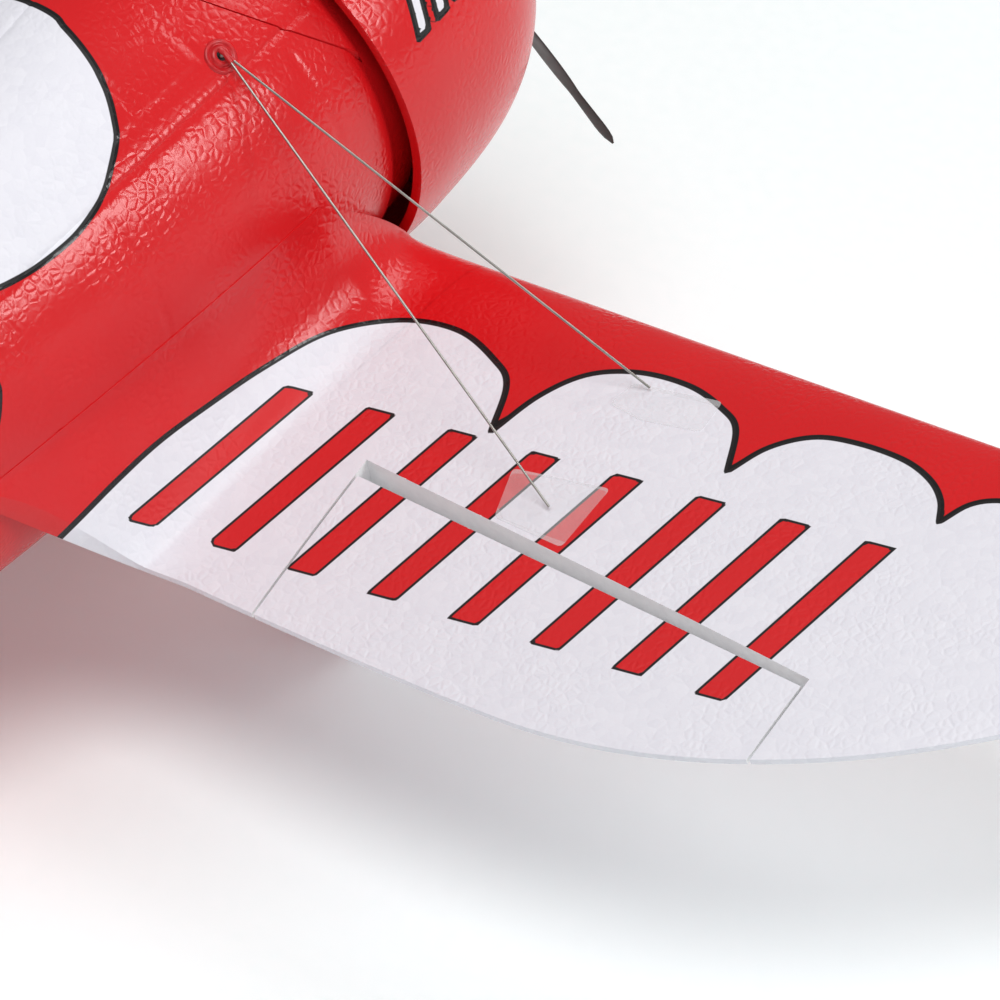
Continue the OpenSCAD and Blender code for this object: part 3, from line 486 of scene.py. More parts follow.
def add(tree, kind, inputs=(), **settings):
    """Adds a node, with its settings, and its inputs as values or as links from other nodes' outputs."""
    node = tree.nodes.new(kind)
    for key, value in settings.items():
        setattr(node, key, value)
    for key, value in dict(inputs).items():
        if isinstance(value, bpy.types.NodeSocket):
            tree.links.new(value, node.inputs[key])
        else:
            node.inputs[key].default_value = value
    return node


def new_material(name, **settings):
    """A material and its surface shader, with the shader's uniform settings written straight on it."""
    material = bpy.data.materials.new(name)
    material.use_nodes = True
    tree = material.node_tree
    shader = tree.nodes["Principled BSDF"]
    for key, value in settings.items():
        shader.inputs[key.replace("_", " ")].default_value = value
    place = add(tree, "ShaderNodeTexCoord").outputs["Object"]
    return material, tree, shader, place


def per_metre(size_mm):
    """Texture scale for a grain of that size."""
    return 1000.0 / size_mm


BEAD = 1.9
TRIM_EDGE, BAR_EDGE = 0.68, 0.3


def painted_bead_foam():
    """Moulded polystyrene beads under sprayed paint: red with a gloss, white scallops, black edges."""
    material, tree, shader, place = new_material("Painted moulded bead foam", IOR=1.46)
    trim = add(tree, "ShaderNodeAttribute", attribute_name="trim").outputs["Fac"]
    bars = add(tree, "ShaderNodeAttribute", attribute_name="bars").outputs["Fac"]

    def step(value, edge, soft=0.07):
        return add(tree, "ShaderNodeMapRange",
                   {0: value, 1: edge - soft, 2: edge + soft, 3: 0.0, 4: 1.0}).outputs[0]

    def edge_of(value, half):
        return add(tree, "ShaderNodeMath", {0: step(value, -half), 1: step(value, half)},
                   operation="SUBTRACT").outputs[0]

    def noise(size_mm, detail):
        return add(tree, "ShaderNodeTexNoise",
                   {"Vector": place, "Scale": per_metre(size_mm), "Detail": detail}).outputs["Fac"]

    def mix(factor, first, second):
        node = add(tree, "ShaderNodeMix", data_type="RGBA")
        for key, value in ((0, factor), (6, first), (7, second)):
            if isinstance(value, bpy.types.NodeSocket):
                tree.links.new(value, node.inputs[key])
            else:
                node.inputs[key].default_value = value
        return node.outputs[2]

    # uneven paint: slow clouds of a slightly deeper red
    red = mix(noise(28, 3.0), linear("#CB1319"), linear("#D91B1F"))
    cells = add(tree, "ShaderNodeTexVoronoi", {"Vector": place, "Scale": per_metre(BEAD)})
    white = mix(cells.outputs["Color"], linear("#E2E1E9"), linear("#E8E7EE"))
    is_white = step(trim, 0.0)
    ground = mix(step(bars, 0.0), mix(is_white, red, white), red)
    line = add(tree, "ShaderNodeMath", {0: edge_of(trim, TRIM_EDGE), 1: edge_of(bars, BAR_EDGE)},
               operation="MAXIMUM").outputs[0]
    colour = mix(line, ground, linear("#141213"))
    # each bead a low dome, with finer pebbling over it, stronger in some patches than in others
    creases = add(tree, "ShaderNodeTexVoronoi", {"Vector": place, "Scale": per_metre(BEAD)},
                  feature="DISTANCE_TO_EDGE")
    domes = add(tree, "ShaderNodeMapRange", {0: creases.outputs["Distance"], 1: 0.0, 2: 0.32, 3: 0.0, 4: 1.0},
                interpolation_type="SMOOTHSTEP").outputs[0]
    height = add(tree, "ShaderNodeMath", {0: noise(0.9, 2.0), 1: 0.5, 2: domes},
                 operation="MULTIPLY_ADD").outputs[0]
    strength = add(tree, "ShaderNodeMapRange",
                   {0: noise(14, 1.0), 1: 0.35, 2: 0.65, 3: 0.25, 4: 0.9}).outputs[0]
    bump = add(tree, "ShaderNodeBump",
               {"Strength": strength, "Distance": 0.00007, "Height": height}).outputs["Normal"]
    # the red has a gloss, the white is duller
    bare = add(tree, "ShaderNodeMath", {0: is_white, 1: 0.26, 2: 0.24}, operation="MULTIPLY_ADD").outputs[0]
    tree.links.new(colour, shader.inputs["Base Color"])
    tree.links.new(bare, shader.inputs["Roughness"])
    tree.links.new(bump, shader.inputs["Normal"])
    return material


def grained(name, low, high, roughness, grain_mm, depth_mm, detail=3.0, stretch=(1, 1, 1), **settings):
    """A plain material whose colour and surface vary with one grain: moulded, turned, drawn or woven."""
    material, tree, shader, place = new_material(name, **settings)
    spread = add(tree, "ShaderNodeMapping", {"Vector": place, "Scale": stretch}).outputs[0]
    grain = add(tree, "ShaderNodeTexNoise",
                {"Vector": spread, "Scale": per_metre(grain_mm), "Detail": detail})
    ramp = add(tree, "ShaderNodeValToRGB", {"Fac": grain.outputs["Fac"]})
    ramp.color_ramp.elements[0].position = 0.3
    ramp.color_ramp.elements[1].position = 0.7
    ramp.color_ramp.elements[0].color = linear(low)
    ramp.color_ramp.elements[1].color = linear(high)
    rough = add(tree, "ShaderNodeMapRange", {0: grain.outputs["Fac"], 1: 0.3, 2: 0.7, 3: roughness * 0.85,
                                             4: min(1.0, roughness * 1.15)}).outputs[0]
    bump = add(tree, "ShaderNodeBump", {"Strength": 0.6, "Distance": depth_mm * MM,
                                        "Height": grain.outputs["Fac"]}).outputs["Normal"]
    tree.links.new(ramp.outputs["Color"], shader.inputs["Base Color"])
    tree.links.new(rough, shader.inputs["Roughness"])
    tree.links.new(bump, shader.inputs["Normal"])
    return material


FOAM_PAINT = painted_bead_foam()
# Cut faces at the ailerons' hinge: the beads' own white, matt
BARE_FOAM = grained("Bare cut bead foam", "#F4F4F6", "#FCFCFD", 0.7, BEAD, 0.06)
# Injection-moulded nylon: near black with a soft sheen and faint flow marks
PROP_NYLON = grained("Moulded black nylon", "#241B18", "#2E2420", 0.42, 6, 0.02)
STEEL = grained("Drawn spring steel wire", "#A29F9A", "#AFACA6", 0.34, 3, 0.002, Metallic=1.0)
GREY_PLASTIC = grained("Moulded grey ABS", "#3B3B3D", "#454548", 0.55, 0.7, 0.03)
ENGINE_GREY = grained("Moulded ABS painted aluminium grey", "#54565A", "#6A6C70", 0.45, 1.2, 0.04)
BLACK_PLASTIC = grained("Moulded black ABS", "#101011", "#19191B", 0.5, 0.7, 0.03)
WHITE_NYLON = grained("Moulded white nylon", "#DEDDD8", "#EDECE8", 0.45, 0.8, 0.02)
MAGNET = grained("Nickel-plated magnet", "#B9B6B0", "#CFCCC6", 0.2, 1.0, 0.005, Metallic=1.0)
ALUMINIUM = grained("Turned aluminium motor bell", "#8F9196", "#B4B6BB", 0.32, 0.5, 0.01,
                    stretch=(1, 6, 1), Metallic=1.0)
COPPER = grained("Enamelled copper windings", "#8A3F1C", "#B9622E", 0.35, 0.5, 0.05,
                 stretch=(1, 4, 1), Metallic=1.0)
CARBON = grained("Pultruded carbon rod", "#141416", "#26262A", 0.38, 0.4, 0.01, stretch=(0.1, 1, 1))
TYRE_FOAM = grained("Foam rubber tyre", "#161616", "#262626", 0.85, 0.6, 0.12)
BATTERY_WRAP = grained("Heat-shrunk blue battery sleeve", "#1B3E86", "#2C57A8", 0.3, 5, 0.15)
BOARD = grained("Solder-masked circuit board", "#0E4A2C", "#176238", 0.4, 1.2, 0.02)
SERVO = grained("Moulded servo case", "#1D2426", "#2A3235", 0.45, 0.8, 0.02)
RED_SLEEVE = grained("Moulded red nylon", "#B3121A", "#CB1A20", 0.35, 1.4, 0.02)
# Vacuum-formed clear sheet: thin, glossy, slightly wavy
CLEAR_SHEET = grained("Vacuum-formed clear sheet", "#E9F2F6", "#F6FBFD", 0.06, 9, 0.03,
                      Transmission_Weight=0.92, IOR=1.45)
# Clear adhesive tape on the foam: a faint milky film that shines where it lies flat
CLEAR_TAPE = grained("Clear adhesive tape", "#F2F2F4", "#FCFCFD", 0.16, 5, 0.05, Alpha=0.22, IOR=1.47)

# ---------------------------------------------------------------- fuselage
# Moulded lines in the foam, rings at a station and long lines at an angle, each as
# (where, from, to, depth, half width)
RING_LINES = [(29.5, 51, 70, 0.4, 0.5), (47.5, 51, 66, 0.35, 0.5), (14, 14, 38, 0.32, 0.45),
              (25, 2, 38, 0.26, 0.45), (66, 5, 40, 0.2, 0.45), (96, -60, 38, 0.2, 0.45)]
LONG_LINES = [(43.5, 4, 110, 0.42, 0.55), (50.5, 31, 110, 0.36, 0.5), (2, 60, 240, 0.2, 0.45)]


def moulded_depth(y, a):
    """How deep the foam's moulded lines lie under the plain surface."""
    depth = np.zeros(np.broadcast(y, a).shape)
    up = np.where(np.asarray(a) > 90, 180 - np.asarray(a), a)
    for at, low, high, deep, half in RING_LINES:
        reach = np.clip(np.minimum(up - low, high - up) / 2 + 0.5, 0, 1)
        depth += deep * np.exp(-((y - at) / half) ** 2) * reach
    for at, low, high, deep, half in LONG_LINES:
        reach = np.clip(np.minimum(y - low, high - y) / 2 + 0.5, 0, 1)
        depth += deep * np.exp(-((up - at) * BODY_ARC / half) ** 2) * reach
    # rounded step that slips under the cowl
    depth += 0.9 / (1 + np.exp((y - 1.6) * 2.4))
    return depth


def half_shell(stations, angles, wall, hollow_end=231.0):
    """One half of the foam shell as rings: out over the outer face, back along the inner one."""
    rings = []
    inner = np.linspace(angles[-1], angles[0], 40)
    for y in stations:
        outer = body_point(y, angles, moulded_depth(y, angles))
        seam = sum(np.exp(-((angles - at) * BODY_ARC / 0.5) ** 2) for at in (90, -90))
        outer -= outer * [[0.004, 0, 0.004]] * seam[:, None]
        inside = body_point(y, inner, wall)
        inside[:, 0] *= 0.02 + 0.98 * np.clip((hollow_end - y) / 6, 0, 1)
        rings.append(np.vstack([outer, inside]))
    return loft(rings)


def hatch_prism(gap, low=12.0, high=95.0):
    half = math.degrees(math.acos((HATCH_FRONT - gap - HATCH_Y) / (HATCH_R + gap)))
    a = np.linspace(90 - half, 90 + half, 120)
    return prism(np.c_[(HATCH_R + gap) * cosd(a), HATCH_Y + (HATCH_R + gap) * sind(a)], low, high)


def build_fuselage():
    stations = np.concatenate([np.arange(-6, 112, 0.9), np.arange(112, 258, 2.4), [259, 261]])
    angles = np.linspace(-90, 90, 176)
    shell = half_shell(stations, angles, FOAM)
    cockpit = block((-9, CANOPY_Y[0] + 10, FIN_BASE - 2), (9, CANOPY_Y[0] + 40, 90))
    shell = carved(shell, hatch_prism(PLAY), cockpit)
    for side, word in SIDES:
        piece(f"foam_shell_{word}", on_side(shell, side), "airframe",
              [f"fuselage_{word}"], FOAM_PAINT, body_paint)


def build_hatch():
    stations = np.arange(-2, 30, 0.9)
    angles = np.linspace(10, 170, 170)
    rings = [np.vstack([body_point(y, angles, moulded_depth(y + 2, angles)),
                        body_point(y, angles[::-4], FOAM - 0.6)]) for y in stations]
    lid = carved(loft(rings), hatch_prism(0), keep=True)
    piece("hatch_lid", lid, "hatch", ["battery_hatch"], FOAM_PAINT, red_paint)


# ---------------------------------------------------------------- cowl
def build_cowl():
    d = COWL_LEN * (1 - (1 - np.linspace(0, 1, 70)) ** 1.3)
    radius = cowl_r(d)
    # thin seam line round the lip
    radius = radius - 0.18 * np.exp(-((d - 49.5) / 0.4) ** 2)
    lip_in = [[INTAKE_R + 0.6, COWL_LEN - 0.4], [INTAKE_R, COWL_LEN - 2], [INTAKE_R + 0.5, COWL_LEN - 4],
              [INTAKE_R + 1.5, COWL_LEN - 6]]
    back = (COWL_LEN - 9) * np.linspace(1, 0, 30)
    rear = [[COWL_R - 1.6, -0.15], [COWL_R - 0.5, -0.15]]
    profile = np.vstack([np.c_[radius, d], lip_in, np.c_[cowl_r(back) - COWL_WALL, back], rear])
    shape = ring_spun(profile, np.zeros(3), FORWARD, 360)
    piece("cowl_shell", shape, "airframe", ["cowl"], FOAM_PAINT, cowl_paint, weld=0.001)


# ---------------------------------------------------------------- wings
def wing_solid():
    s = (1 - cosd(np.linspace(0, 180, 124))) / 2
    low = (1 - cosd(np.linspace(180, 0, 46)))[1:-1] / 2
    rings = []
    for d in np.concatenate([[-0.7], np.linspace(0, 1, 28) ** 1.8]):
        rings.append(np.vstack([fairing_point(d, s, True), fairing_point(d, low, False)]))
    rounded_tip = TIP_X + (SPAN - 0.4 - TIP_X) * sind(np.linspace(1, 90, 60))
    for x in np.concatenate([np.arange(61.2, TIP_X, 0.9), rounded_tip]):
        rings.append(np.vstack([np.c_[np.full(len(s), x), chord_y(x, s), top_z(x, s)],
                                np.c_[np.full(len(low), x), chord_y(x, low), under_z(x, low)]]))
    return loft(rings)


def aileron_prism(side_gap, front_gap):
    """The aileron's place in the wing: aft of the hinge, between its ends, right through."""
    inner, outer, aft = AIL_IN + side_gap, AIL_OUT - side_gap, CHORD + 20
    return prism([(inner, hinge_y(AIL_IN) + front_gap), (outer, hinge_y(AIL_OUT) + front_gap),
                  (outer, aft), (inner, aft)], -80, 80)


def hinge_frame():
    """Middle of the aileron's hinge, and its directions: along it, aft and up."""
    p, q = hinge_point(AIL_IN), hinge_point(AIL_OUT)
    along = (q - p) / np.linalg.norm(q - p)
    aft = np.array([-along[1], along[0], 0]) / math.hypot(along[0], along[1])
    return (p + q) / 2, np.array([along, aft, np.cross(along, aft)])


def build_wings():
    wing = wing_solid()
    middle, axes = hinge_frame()
    # the aileron's front face slants forward from the hinge, so that it can swing up
    lean, rise = cosd(AIL_SLANT), sind(AIL_SLANT)
    slanted = np.array([[1, 0, 0], [0, lean, -rise], [0, rise, lean]])
    corners, faces = block((-100, -40 + PLAY, -10), (100, PLAY, 30))
    slant = (corners @ slanted @ axes + middle, faces)
    face_normal = np.array([0, lean, -rise]) @ axes
    around = np.arange(-180, 180, 3)
    body = loft([body_point(y, around) for y in np.linspace(-6, TAIL_Y, 120)])
    panel = carved(carved(wing, aileron_prism(0, 0)), body)
    aileron = carved(carved(wing, aileron_prism(2 * PLAY, PLAY), keep=True), slant)

    def wing_cut(c):
        x, y = np.abs(c[:, 0]), c[:, 1]
        behind = (np.abs(y - hinge_y(x)) < ON_FACE) & (x > AIL_IN) & (x < AIL_OUT)
        ends = (y > hinge_y(x)) & (np.minimum(np.abs(x - AIL_IN), np.abs(x - AIL_OUT)) < ON_END)
        return behind | ends

    def aileron_cut(c):
        c = c * [np.sign(c[0, 0]), 1, 1]
        near = np.abs((c - middle) @ face_normal - PLAY) < ON_FACE
        front = np.abs(c[:, 1] - hinge_y(c[:, 0]) - PLAY) < ON_FACE
        inner, outer = AIL_IN + 2 * PLAY, AIL_OUT - 2 * PLAY
        ends = np.minimum(np.abs(c[:, 0] - inner), np.abs(c[:, 0] - outer)) < ON_END
        return near | front | ends

    for side, word in SIDES:
        piece(f"wing_panel_{word}", on_side(panel, side), "airframe", [f"wing_{word}"],
              [FOAM_PAINT, BARE_FOAM], wing_paint, choose=wing_cut)
        piece(f"aileron_panel_{word}", on_side(aileron, side), f"aileron_{word}",
              [f"aileron_{word}"], [FOAM_PAINT, BARE_FOAM], wing_paint, choose=aileron_cut)


build_fuselage()
build_hatch()
build_cowl()
build_wings()


# ---------------------------------------------------------------- propeller
def build_propeller():
    shapes = []
    for turn in (0, 180):
        rings = []
        for u in np.linspace(0, 1, 44) ** 0.9:
            r = 5 + (PROP_R - 5) * u
            c = 2.2 + 4.6 * float(sind(180 * min(1, u * 1.08 + 0.12))) ** 0.8
            c *= math.sqrt(max(0.02, 1 - max(0, (u - 0.93) / 0.07) ** 2))
            t, p = 1.5 - 1.1 * u, math.radians(52 - 46 * u)
            a = np.radians(np.arange(0, 360, 12))
            y = -c * np.cos(a) * math.sin(p) - t / 2 * np.sin(a) * math.cos(p)
            z = c * np.cos(a) * math.cos(p) - t / 2 * np.sin(a) * math.sin(p)
            rings.append(np.c_[np.full(len(a), r), y, z])
        points, faces = loft(rings)
        x, z = turned(points[:, 0], points[:, 2], PROP_ANGLE - 180 - turn)
        shapes.append((np.c_[x, points[:, 1] + PROP_Y, z], faces))
    hub = spun([(0.5, -3), (5.4, -3), (6, -2.4), (6, 2.4), (5.4, 3), (0.5, 3)],
               np.array([0, PROP_Y, 0]), FORWARD, 64)
    piece("propeller_blades", joined(hub, *shapes), "rotor", ["propeller"], PROP_NYLON)
    nose = [(0.5, 0), (7, 0), (7.1, 0.6), (6.6, 3), (5.2, 6.5), (3.2, 9), (1.4, 9.9), (0.3, 10)]
    piece("spinner_cap", spun(smooth_line(nose, 4), np.array([0, PROP_Y - 3, 0]), FORWARD, 64), "rotor",
          ["spinner"], RED_SLEEVE)


build_propeller()


# ---------------------------------------------------------------- tail
def panel_rings(levels, low, high, half, lay, front_full=1.0, rear_full=1.0):
    """A flat moulded surface with rounded edges, as rings across its span."""
    s = (1 - cosd(np.linspace(0, 180, 40))) / 2
    rings = []
    ends = (levels[0], levels[-1])
    for u in levels:
        f, b = low(u), high(u)
        edge = min(1.0, min(u - ends[0], ends[1] - u) / 2 + 0.15)
        wide = max(b - f, 0.6)
        y = f + wide * s
        near = np.minimum(y - f, f + wide - y) / 2
        round_off = np.sqrt(np.clip(1 - (1 - np.minimum(1, near)) ** 2, 0, 1))
        t = half * (front_full + (rear_full - front_full) * s) * (0.06 + 0.94 * round_off) * math.sqrt(edge)
        rings.append(np.vstack([lay(u, y, t), lay(u, y[::-1][1:-1], -t[::-1][1:-1])]))
    return loft(rings)


def across(u, y, t):
    return np.c_[np.full(len(y), u), y, STAB_Z + t]


def upright(u, y, t):
    return np.c_[t, y, np.full(len(y), u)]


def arch(x, reach):
    return math.sqrt(max(0.0, 1 - (x / reach) ** 2))


def build_tail():
    half = TAIL_T / 2
    back = ELEV_Y - 1
    run = back - STAB_FRONT
    stab = panel_rings(np.linspace(-STAB_HALF + 0.3, STAB_HALF - 0.3, 130),
                       lambda x: back - run * arch(max(0, abs(x) - 20), STAB_HALF - 20),
                       lambda x: back, half, across)
    piece("tailplane", stab, "airframe", ["stabilizer"], FOAM_PAINT, stab_paint)
    front = ELEV_Y + PLAY
    reach = ELEV_CHORD - PLAY
    elevator = panel_rings(
        np.linspace(ELEV_IN, STAB_HALF - 0.3, 70), lambda x: front,
        lambda x: front + reach * min(1, (x - ELEV_IN + 0.6) / 3) * arch(max(0, x - 60), 30),
        half, across, 1.0, 0.45)
    for side, word in SIDES:
        piece(f"elevator_panel_{word}", on_side(elevator, side), "elevators",
              [f"elevator_{word}"], FOAM_PAINT, stab_paint)
    back = RUD_Y - 1
    fin = panel_rings(np.linspace(FIN_BASE, FIN_TOP, 50),
                      lambda z: back - (back - FIN_FRONT) * arch(max(0, z - 32), 48.4),
                      lambda z: back, half, upright)
    piece("fin_panel", fin, "airframe", ["fin"], FOAM_PAINT, fin_paint)
    front, reach = RUD_Y + PLAY, RUD_CHORD - PLAY
    foot = -float(belly_z(TAIL_Y))
    rudder = panel_rings(
        np.linspace(foot, FIN_TOP, 80), lambda z: front,
        lambda z: front + reach * arch(max(0, z - 50), 30) * arch(max(0, foot + 14 - z), 14.2),
        half, upright, 1.0, 0.45)
    piece("rudder_panel", rudder, "rudder", ["rudder"], FOAM_PAINT, fin_paint)


build_tail()


# ---------------------------------------------------------------- undercarriage
def build_undercarriage():
    top, bottom = float(wing_z(WHEEL[0])) - 0.4, WHEEL[2] - WHEEL_R * 0.25
    rings = []
    for u in np.linspace(0, 1, 60):
        z = top + (bottom - top) * u
        full = float(sind(90 * min(1, u / 0.75))) ** 1.3
        foot = 1 - 0.35 * max(0, (u - 0.75) / 0.25) ** 2
        w = (4.5 + (WHEEL_W / 2 + 2.5) * full) * foot
        nose, tail = WHEEL[1] - 10 - 13 * full * foot, WHEEL[1] + 38 + 6 * full * foot ** 3
        a = np.arange(0, 360, 4.5)
        s = (1 - cosd(a)) / 2
        x = WHEEL[0] + w * np.sign(sind(a)) * np.abs(sind(a)) ** 0.9 * (1 - 0.45 * s)
        rings.append(np.c_[x, nose + (tail - nose) * s ** 1.15, np.full(len(a), z)])
    well = spun([(WELL_R, -WELL_HALF), (WELL_R, WELL_HALF)], WHEEL, (1, 0, 0), 72)
    wide, long = WELL_HALF - 0.02, WELL_R - 0.02
    drop = block(WHEEL + [-wide, -long, -40], WHEEL + [wide, long, 0])
    spat = carved(loft(rings), well, drop)
    depth = WHEEL_R - HUB_R
    tread = smooth_line([(HUB_R, -3.7), (HUB_R + depth * 0.5, -4.5), (HUB_R + depth * 0.85, -3.8),
                         (HUB_R + depth * 0.97, -2.2), (WHEEL_R, 0), (HUB_R + depth * 0.97, 2.2),
                         (HUB_R + depth * 0.85, 3.8), (HUB_R + depth * 0.5, 4.5), (HUB_R, 3.7)], 4)
    tyre = ring_spun(tread, WHEEL, (1, 0, 0))
    for side, word in SIDES:
        piece(f"spat_{word}", on_side(spat, side), "airframe",
              [f"wheel_pant_{word}"], FOAM_PAINT, spat_paint)
        piece(f"wheel_tyre_{word}", on_side(tyre, side), f"wheel_{word}",
              [f"tyre_{word}"], TYRE_FOAM, weld=0.001)


build_undercarriage()


# ---------------------------------------------------------------- canopy
def build_canopy():
    angles = np.linspace(-6, 186, 60)
    rings = []
    length = CANOPY_Y[1] - CANOPY_Y[0]
    for u in np.linspace(0.04, 0.96, 50):
        y = CANOPY_Y[0] + length * u
        f = float(sind(180 * u ** 0.75)) ** 0.6
        loop = []
        for grow, a in ((0, angles), (-0.9, angles[::-1])):
            w, h = max(1.5, (CANOPY_W + grow) * f), max(1.5, (CANOPY_H + grow) * f)
            level = np.full(len(a), y + grow * (2 * u - 1))
            loop.append(np.c_[w * cosd(a), level, back_z(y) - 4 + (h + 4) * sind(a)])
        rings.append(np.vstack(loop))
    piece("canopy_glazing", loft(rings), "airframe", ["canopy"], CLEAR_SHEET, sharp=50)


build_canopy()


# ---------------------------------------------------------------- flying wires
def boss_place(lift):
    p = body_point(BOSS_Y, BOSS_ANGLE)
    return p + lift * np.array([float(cosd(BOSS_ANGLE)), 0, float(sind(BOSS_ANGLE))])


def anchor_place(i):
    return np.array([ANCHOR_X, ANCHOR_Y[i], float(top_z(ANCHOR_X, chord_s(ANCHOR_X, ANCHOR_Y[i])))])


def film_on_wing(outline, lift=0.1, thick=0.09):
    """A thin film that lies on the wing's upper side, within an outline in x and y."""
    middle = outline.mean(0)
    rings = []
    for share, level in [(1, lift - thick)] + [(k, lift) for k in (1, 0.75, 0.5, 0.25, 0.02)]:
        x, y = (middle + (outline - middle) * share).T
        rings.append(np.c_[x, y, top_z(x, chord_s(x, y)) + level])
    return loft(rings)


def rounded_outline(corners, radius, steps=5):
    """A polygon with rounded corners."""
    p = np.asarray(corners, float)
    out = []
    for a, b, c in zip(np.roll(p, 1, 0), p, np.roll(p, -1, 0)):
        u, v = (a - b) / np.linalg.norm(a - b), (c - b) / np.linalg.norm(c - b)
        start, end = b + u * radius, b + v * radius
        for t in np.linspace(0, 1, steps):
            out.append((1 - t) ** 2 * start + 2 * t * (1 - t) * b + t ** 2 * end)
    return np.array(out)


# Corners of the two squares of tape over the wires' lower ends
TAPES = [[(113.4, 18.5), (131.7, 15.2), (132.7, 24.2), (120.2, 26.6), (112.4, 25.4)],
         [(105, 47.2), (125.3, 43.9), (124.8, 60), (108.6, 58.9)]]


def build_bosses_and_tapes():
    out = boss_place(1) - boss_place(0)
    centre = boss_place(0)
    rim = smooth_line([(0.9, -1.4), (0.95, 0.1), (1.25, 0.65), (1.9, 0.55), (2.35, 0.05), (2.8, 0.3),
                       (3.3, 0.25), (3.8, -0.5)], 4)
    ring = ring_spun(rim, centre, out, 64)
    # Painted shade: a black plastic plug nearly fills the boss's hole and stands in for the darkness inside it.
    hole_shade = spun([(0.1, -0.3), (1.05, -0.3), (1.05, 0.1), (0.1, 0.1)], centre, out, 32)
    head = spun([(0.12, 0.12), (0.36, 0.12), (0.42, 0.3), (0.32, 0.45), (0.2, 0.45), (0.12, 0.35)],
                centre, out, 32)
    for side, word in SIDES:
        piece(f"boss_ring_{word}", on_side(ring, side), "airframe",
              ["wire_bosses"], RED_SLEEVE, weld=0.001)
        # The black plug is painted shade for the boss's hole, on each side.
        piece(f"boss_hole_painted_shade_{word}", on_side(hole_shade, side), "airframe", [], BLACK_PLASTIC)
        piece(f"boss_screw_{word}", on_side(head, side), "airframe", [], STEEL)
        for i, tape in enumerate(TAPES):
            film = film_on_wing(rounded_outline(tape, 1.2))
            piece(f"wing_tape_{i + 1}_{word}", on_side(film, side), "airframe",
                  ["wire_anchors"], CLEAR_TAPE, sharp=60)


build_bosses_and_tapes()


# ---------------------------------------------------------------- what repeats or follows a path
def growth(name, **sockets):
    """An empty Geometry Nodes tree with named inputs, its input node and its output node."""
    tree = bpy.data.node_groups.new(name, "GeometryNodeTree")
    tree.interface.new_socket("Geometry", in_out="OUTPUT", socket_type="NodeSocketGeometry")
    for label, kind in sockets.items():
        tree.interface.new_socket(label, in_out="INPUT", socket_type="NodeSocket" + kind)
    return tree, tree.nodes.new("NodeGroupInput").outputs, tree.nodes.new("NodeGroupOutput").inputs


def end_growth(tree, geometry, out, material):
    real = add(tree, "GeometryNodeRealizeInstances", {"Geometry": geometry}).outputs[0]
    done = add(tree, "GeometryNodeSetMaterial", {"Geometry": real, "Material": material}).outputs[0]
    tree.links.new(done, out[0])


def grown(tree, **values):
    """Runs the tree once with these inputs, and gives the plain shape it makes."""
    obj = raw_object("grown", (np.zeros((1, 3)), []))
    modifier = obj.modifiers.new("growth", "NODES")
    modifier.node_group = tree
    for item in tree.interface.items_tree:
        if item.in_out == "INPUT":
            modifier[item.identifier] = values[item.name]
    mesh = bpy.data.meshes.new_from_object(obj.evaluated_get(bpy.context.evaluated_depsgraph_get()))
    points = np.empty(len(mesh.vertices) * 3)
    mesh.vertices.foreach_get("co", points)
    faces = [list(p.vertices) for p in mesh.polygons]
    bpy.data.objects.remove(obj)
    return points.reshape(-1, 3), faces


def rod_ring_tree():
    """Rods that point outwards, evenly round a ring: the dummy engine's push-rod tubes."""
    tree, given, out = growth("push_rod_ring", Count="Int", Ring="Float", Length="Float", Radius="Float")
    ring = add(tree, "GeometryNodeMeshCircle",
               {"Vertices": given["Count"], "Radius": given["Ring"]}).outputs[0]
    rod = add(tree, "GeometryNodeMeshCylinder", {"Vertices": 14, "Radius": given["Radius"],
                                                 "Depth": given["Length"]}).outputs[0]
    outwards = add(tree, "FunctionNodeAlignRotationToVector",
                   {"Vector": add(tree, "GeometryNodeInputPosition").outputs[0]}, axis="Z").outputs[0]
    rods = add(tree, "GeometryNodeInstanceOnPoints", {"Points": ring, "Instance": rod, "Rotation": outwards})
    end_growth(tree, rods.outputs[0], out, ENGINE_GREY)
    return tree


def wire_tree(material):
    """A round wire from one point to another."""
    tree, given, out = growth("wire_run", Start="Vector", End="Vector", Radius="Float")
    line = add(tree, "GeometryNodeCurvePrimitiveLine",
               {"Start": given["Start"], "End": given["End"]}).outputs[0]
    section = add(tree, "GeometryNodeCurvePrimitiveCircle",
                  {"Resolution": 12, "Radius": given["Radius"]}).outputs[0]
    wire = add(tree, "GeometryNodeCurveToMesh",
               {"Curve": line, "Profile Curve": section, "Fill Caps": True}).outputs[0]
    end_growth(tree, wire, out, material)
    return tree


WIRE_R, SLEEVE_R = 0.25, 0.5
TUBE_COUNT, TUBE_RING, TUBE_LEN, TUBE_R, TUBE_Y, TUBE_TURN = 18, 25.0, 22.0, 0.9, -46.4, 10


def build_repeats():
    points, faces = grown(rod_ring_tree(), Count=TUBE_COUNT, Ring=TUBE_RING, Length=TUBE_LEN, Radius=TUBE_R)
    x, z = turned(points[:, 0], points[:, 1], TUBE_TURN)
    piece("push_rod_tubes", (np.c_[x, TUBE_Y - points[:, 2], z], faces), "airframe",
          [], ENGINE_GREY)
    wire, sleeve = wire_tree(STEEL), wire_tree(RED_SLEEVE)
    start = boss_place(1.6)
    for side, word in SIDES:
        runs, sleeves = [], []
        for i in (0, 1):
            end = anchor_place(i) + [0, 0, 0.9]
            along = (end - start) / np.linalg.norm(end - start)
            runs.append(grown(wire, Start=tuple(start - along), End=tuple(end), Radius=WIRE_R))
            sleeves.append(grown(sleeve, Start=tuple(start - along * 1.2),
                                 End=tuple(start + along * 2.2), Radius=SLEEVE_R))
        piece(f"flying_wire_pair_{word}", on_side(joined(*runs), side), "airframe",
              ["flying_wires"], STEEL)
        piece(f"wire_sleeves_{word}", on_side(joined(*sleeves), side), "airframe",
              [], RED_SLEEVE)


build_repeats()

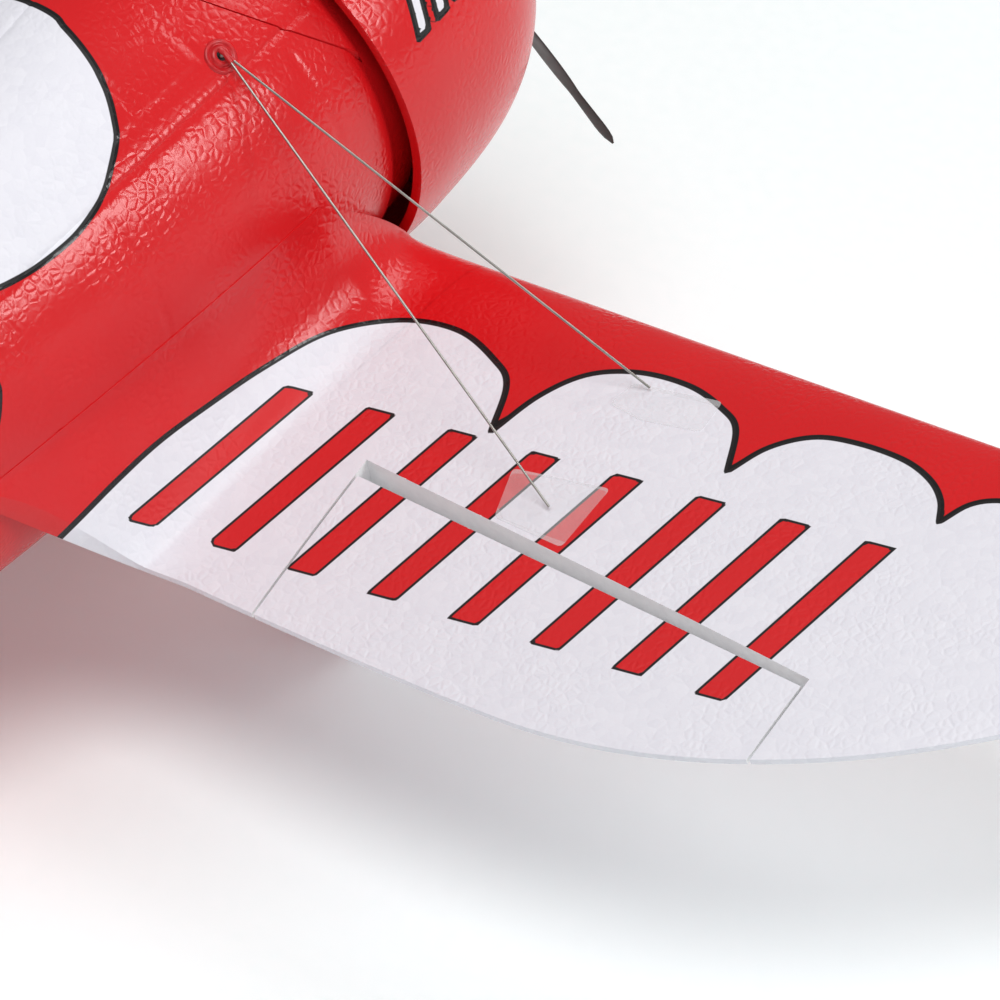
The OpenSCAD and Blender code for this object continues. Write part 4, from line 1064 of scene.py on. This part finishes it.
# ---------------------------------------------------------------- CAD nodes that stay
FINISH = {
    "grey_plastic": GREY_PLASTIC, "engine_plastic": ENGINE_GREY, "black_plastic": BLACK_PLASTIC,
    "propeller_nylon": PROP_NYLON, "white_nylon": WHITE_NYLON, "steel": STEEL, "magnet_nickel": MAGNET,
    "motor_aluminium": ALUMINIUM, "stator_copper": COPPER, "carbon_rod": CARBON, "tyre_foam": TYRE_FOAM,
    "battery_wrap": BATTERY_WRAP, "circuit_board": BOARD, "servo_plastic": SERVO, "canopy_clear": CLEAR_SHEET,
    "red_foam": RED_SLEEVE, "painted_wing_foam": BARE_FOAM,
}
for part in frame["record"]["subparts"]:
    node = frame["nodes"][part["node"]]
    node.data.materials.clear()
    node.data.materials.append(FINISH[part["material_slot"]])

# ---------------------------------------------------------------- floor, light and camera
STUDIO_PAPER = grained("Pale studio paper", "#F0F7F7", "#F4F9F9", 0.9, 3, 0.01,
                       Emission_Color=(1, 1, 1, 1), Emission_Strength=0.12)
FLOOR = 4
sheet = FLOOR * np.array([(-1, -1, 0), (1, -1, 0), (1, 1, 0), (-1, 1, 0)])
floor = raw_object("floor", (sheet, [[0, 1, 2, 3]]))
floor.data.materials.append(STUDIO_PAPER)


def soft_light(name, place, aim, size, power):
    data = bpy.data.lights.new(name, "AREA")
    data.shape = "DISK"
    data.size = size
    data.energy = power
    lamp = bpy.data.objects.new(name, data)
    lamp.location = place
    lamp.rotation_euler = (Vector(aim) - Vector(place)).to_track_quat("-Z", "Y").to_euler()
    bpy.context.scene.collection.objects.link(lamp)


soft_light("overhead_softbox", (-0.35, 0.35, 1.7), (0, 0, 0.05), 1.1, 16.5)
soft_light("nose_softbox", (-0.6, -1.2, 1.3), (0, 0, 0.05), 0.8, 6)
soft_light("wing_tip_softbox", (-1.15, -0.3, 0.56), (-0.05, 0, 0.09), 0.34, 3.6)

world = bpy.data.worlds.new("studio")
world.use_nodes = True
world.node_tree.nodes["Background"].inputs["Color"].default_value = (1, 1, 1, 1)
world.node_tree.nodes["Background"].inputs["Strength"].default_value = 0.29
bpy.context.scene.world = world
bpy.context.scene.view_settings.view_transform = "Standard"

# A long lens from high behind the starboard side, on the wing's inner half
AIM, DISTANCE, LENS = (-103.6, 50.8, -24.5), 2.6, 496
AZIMUTH, ELEVATION = math.radians(215), math.radians(37)
camera = bpy.data.objects.new("camera", bpy.data.cameras.new("camera"))
camera.data.lens = LENS
across_floor = math.cos(ELEVATION)
back = Vector((math.sin(AZIMUTH) * across_floor, -math.cos(AZIMUTH) * across_floor, math.sin(ELEVATION)))
camera.location = Vector(placed(AIM)) + back * DISTANCE
camera.rotation_euler = back.to_track_quat("Z", "Y").to_euler()
bpy.context.scene.collection.objects.link(camera)
bpy.context.scene.camera = camera
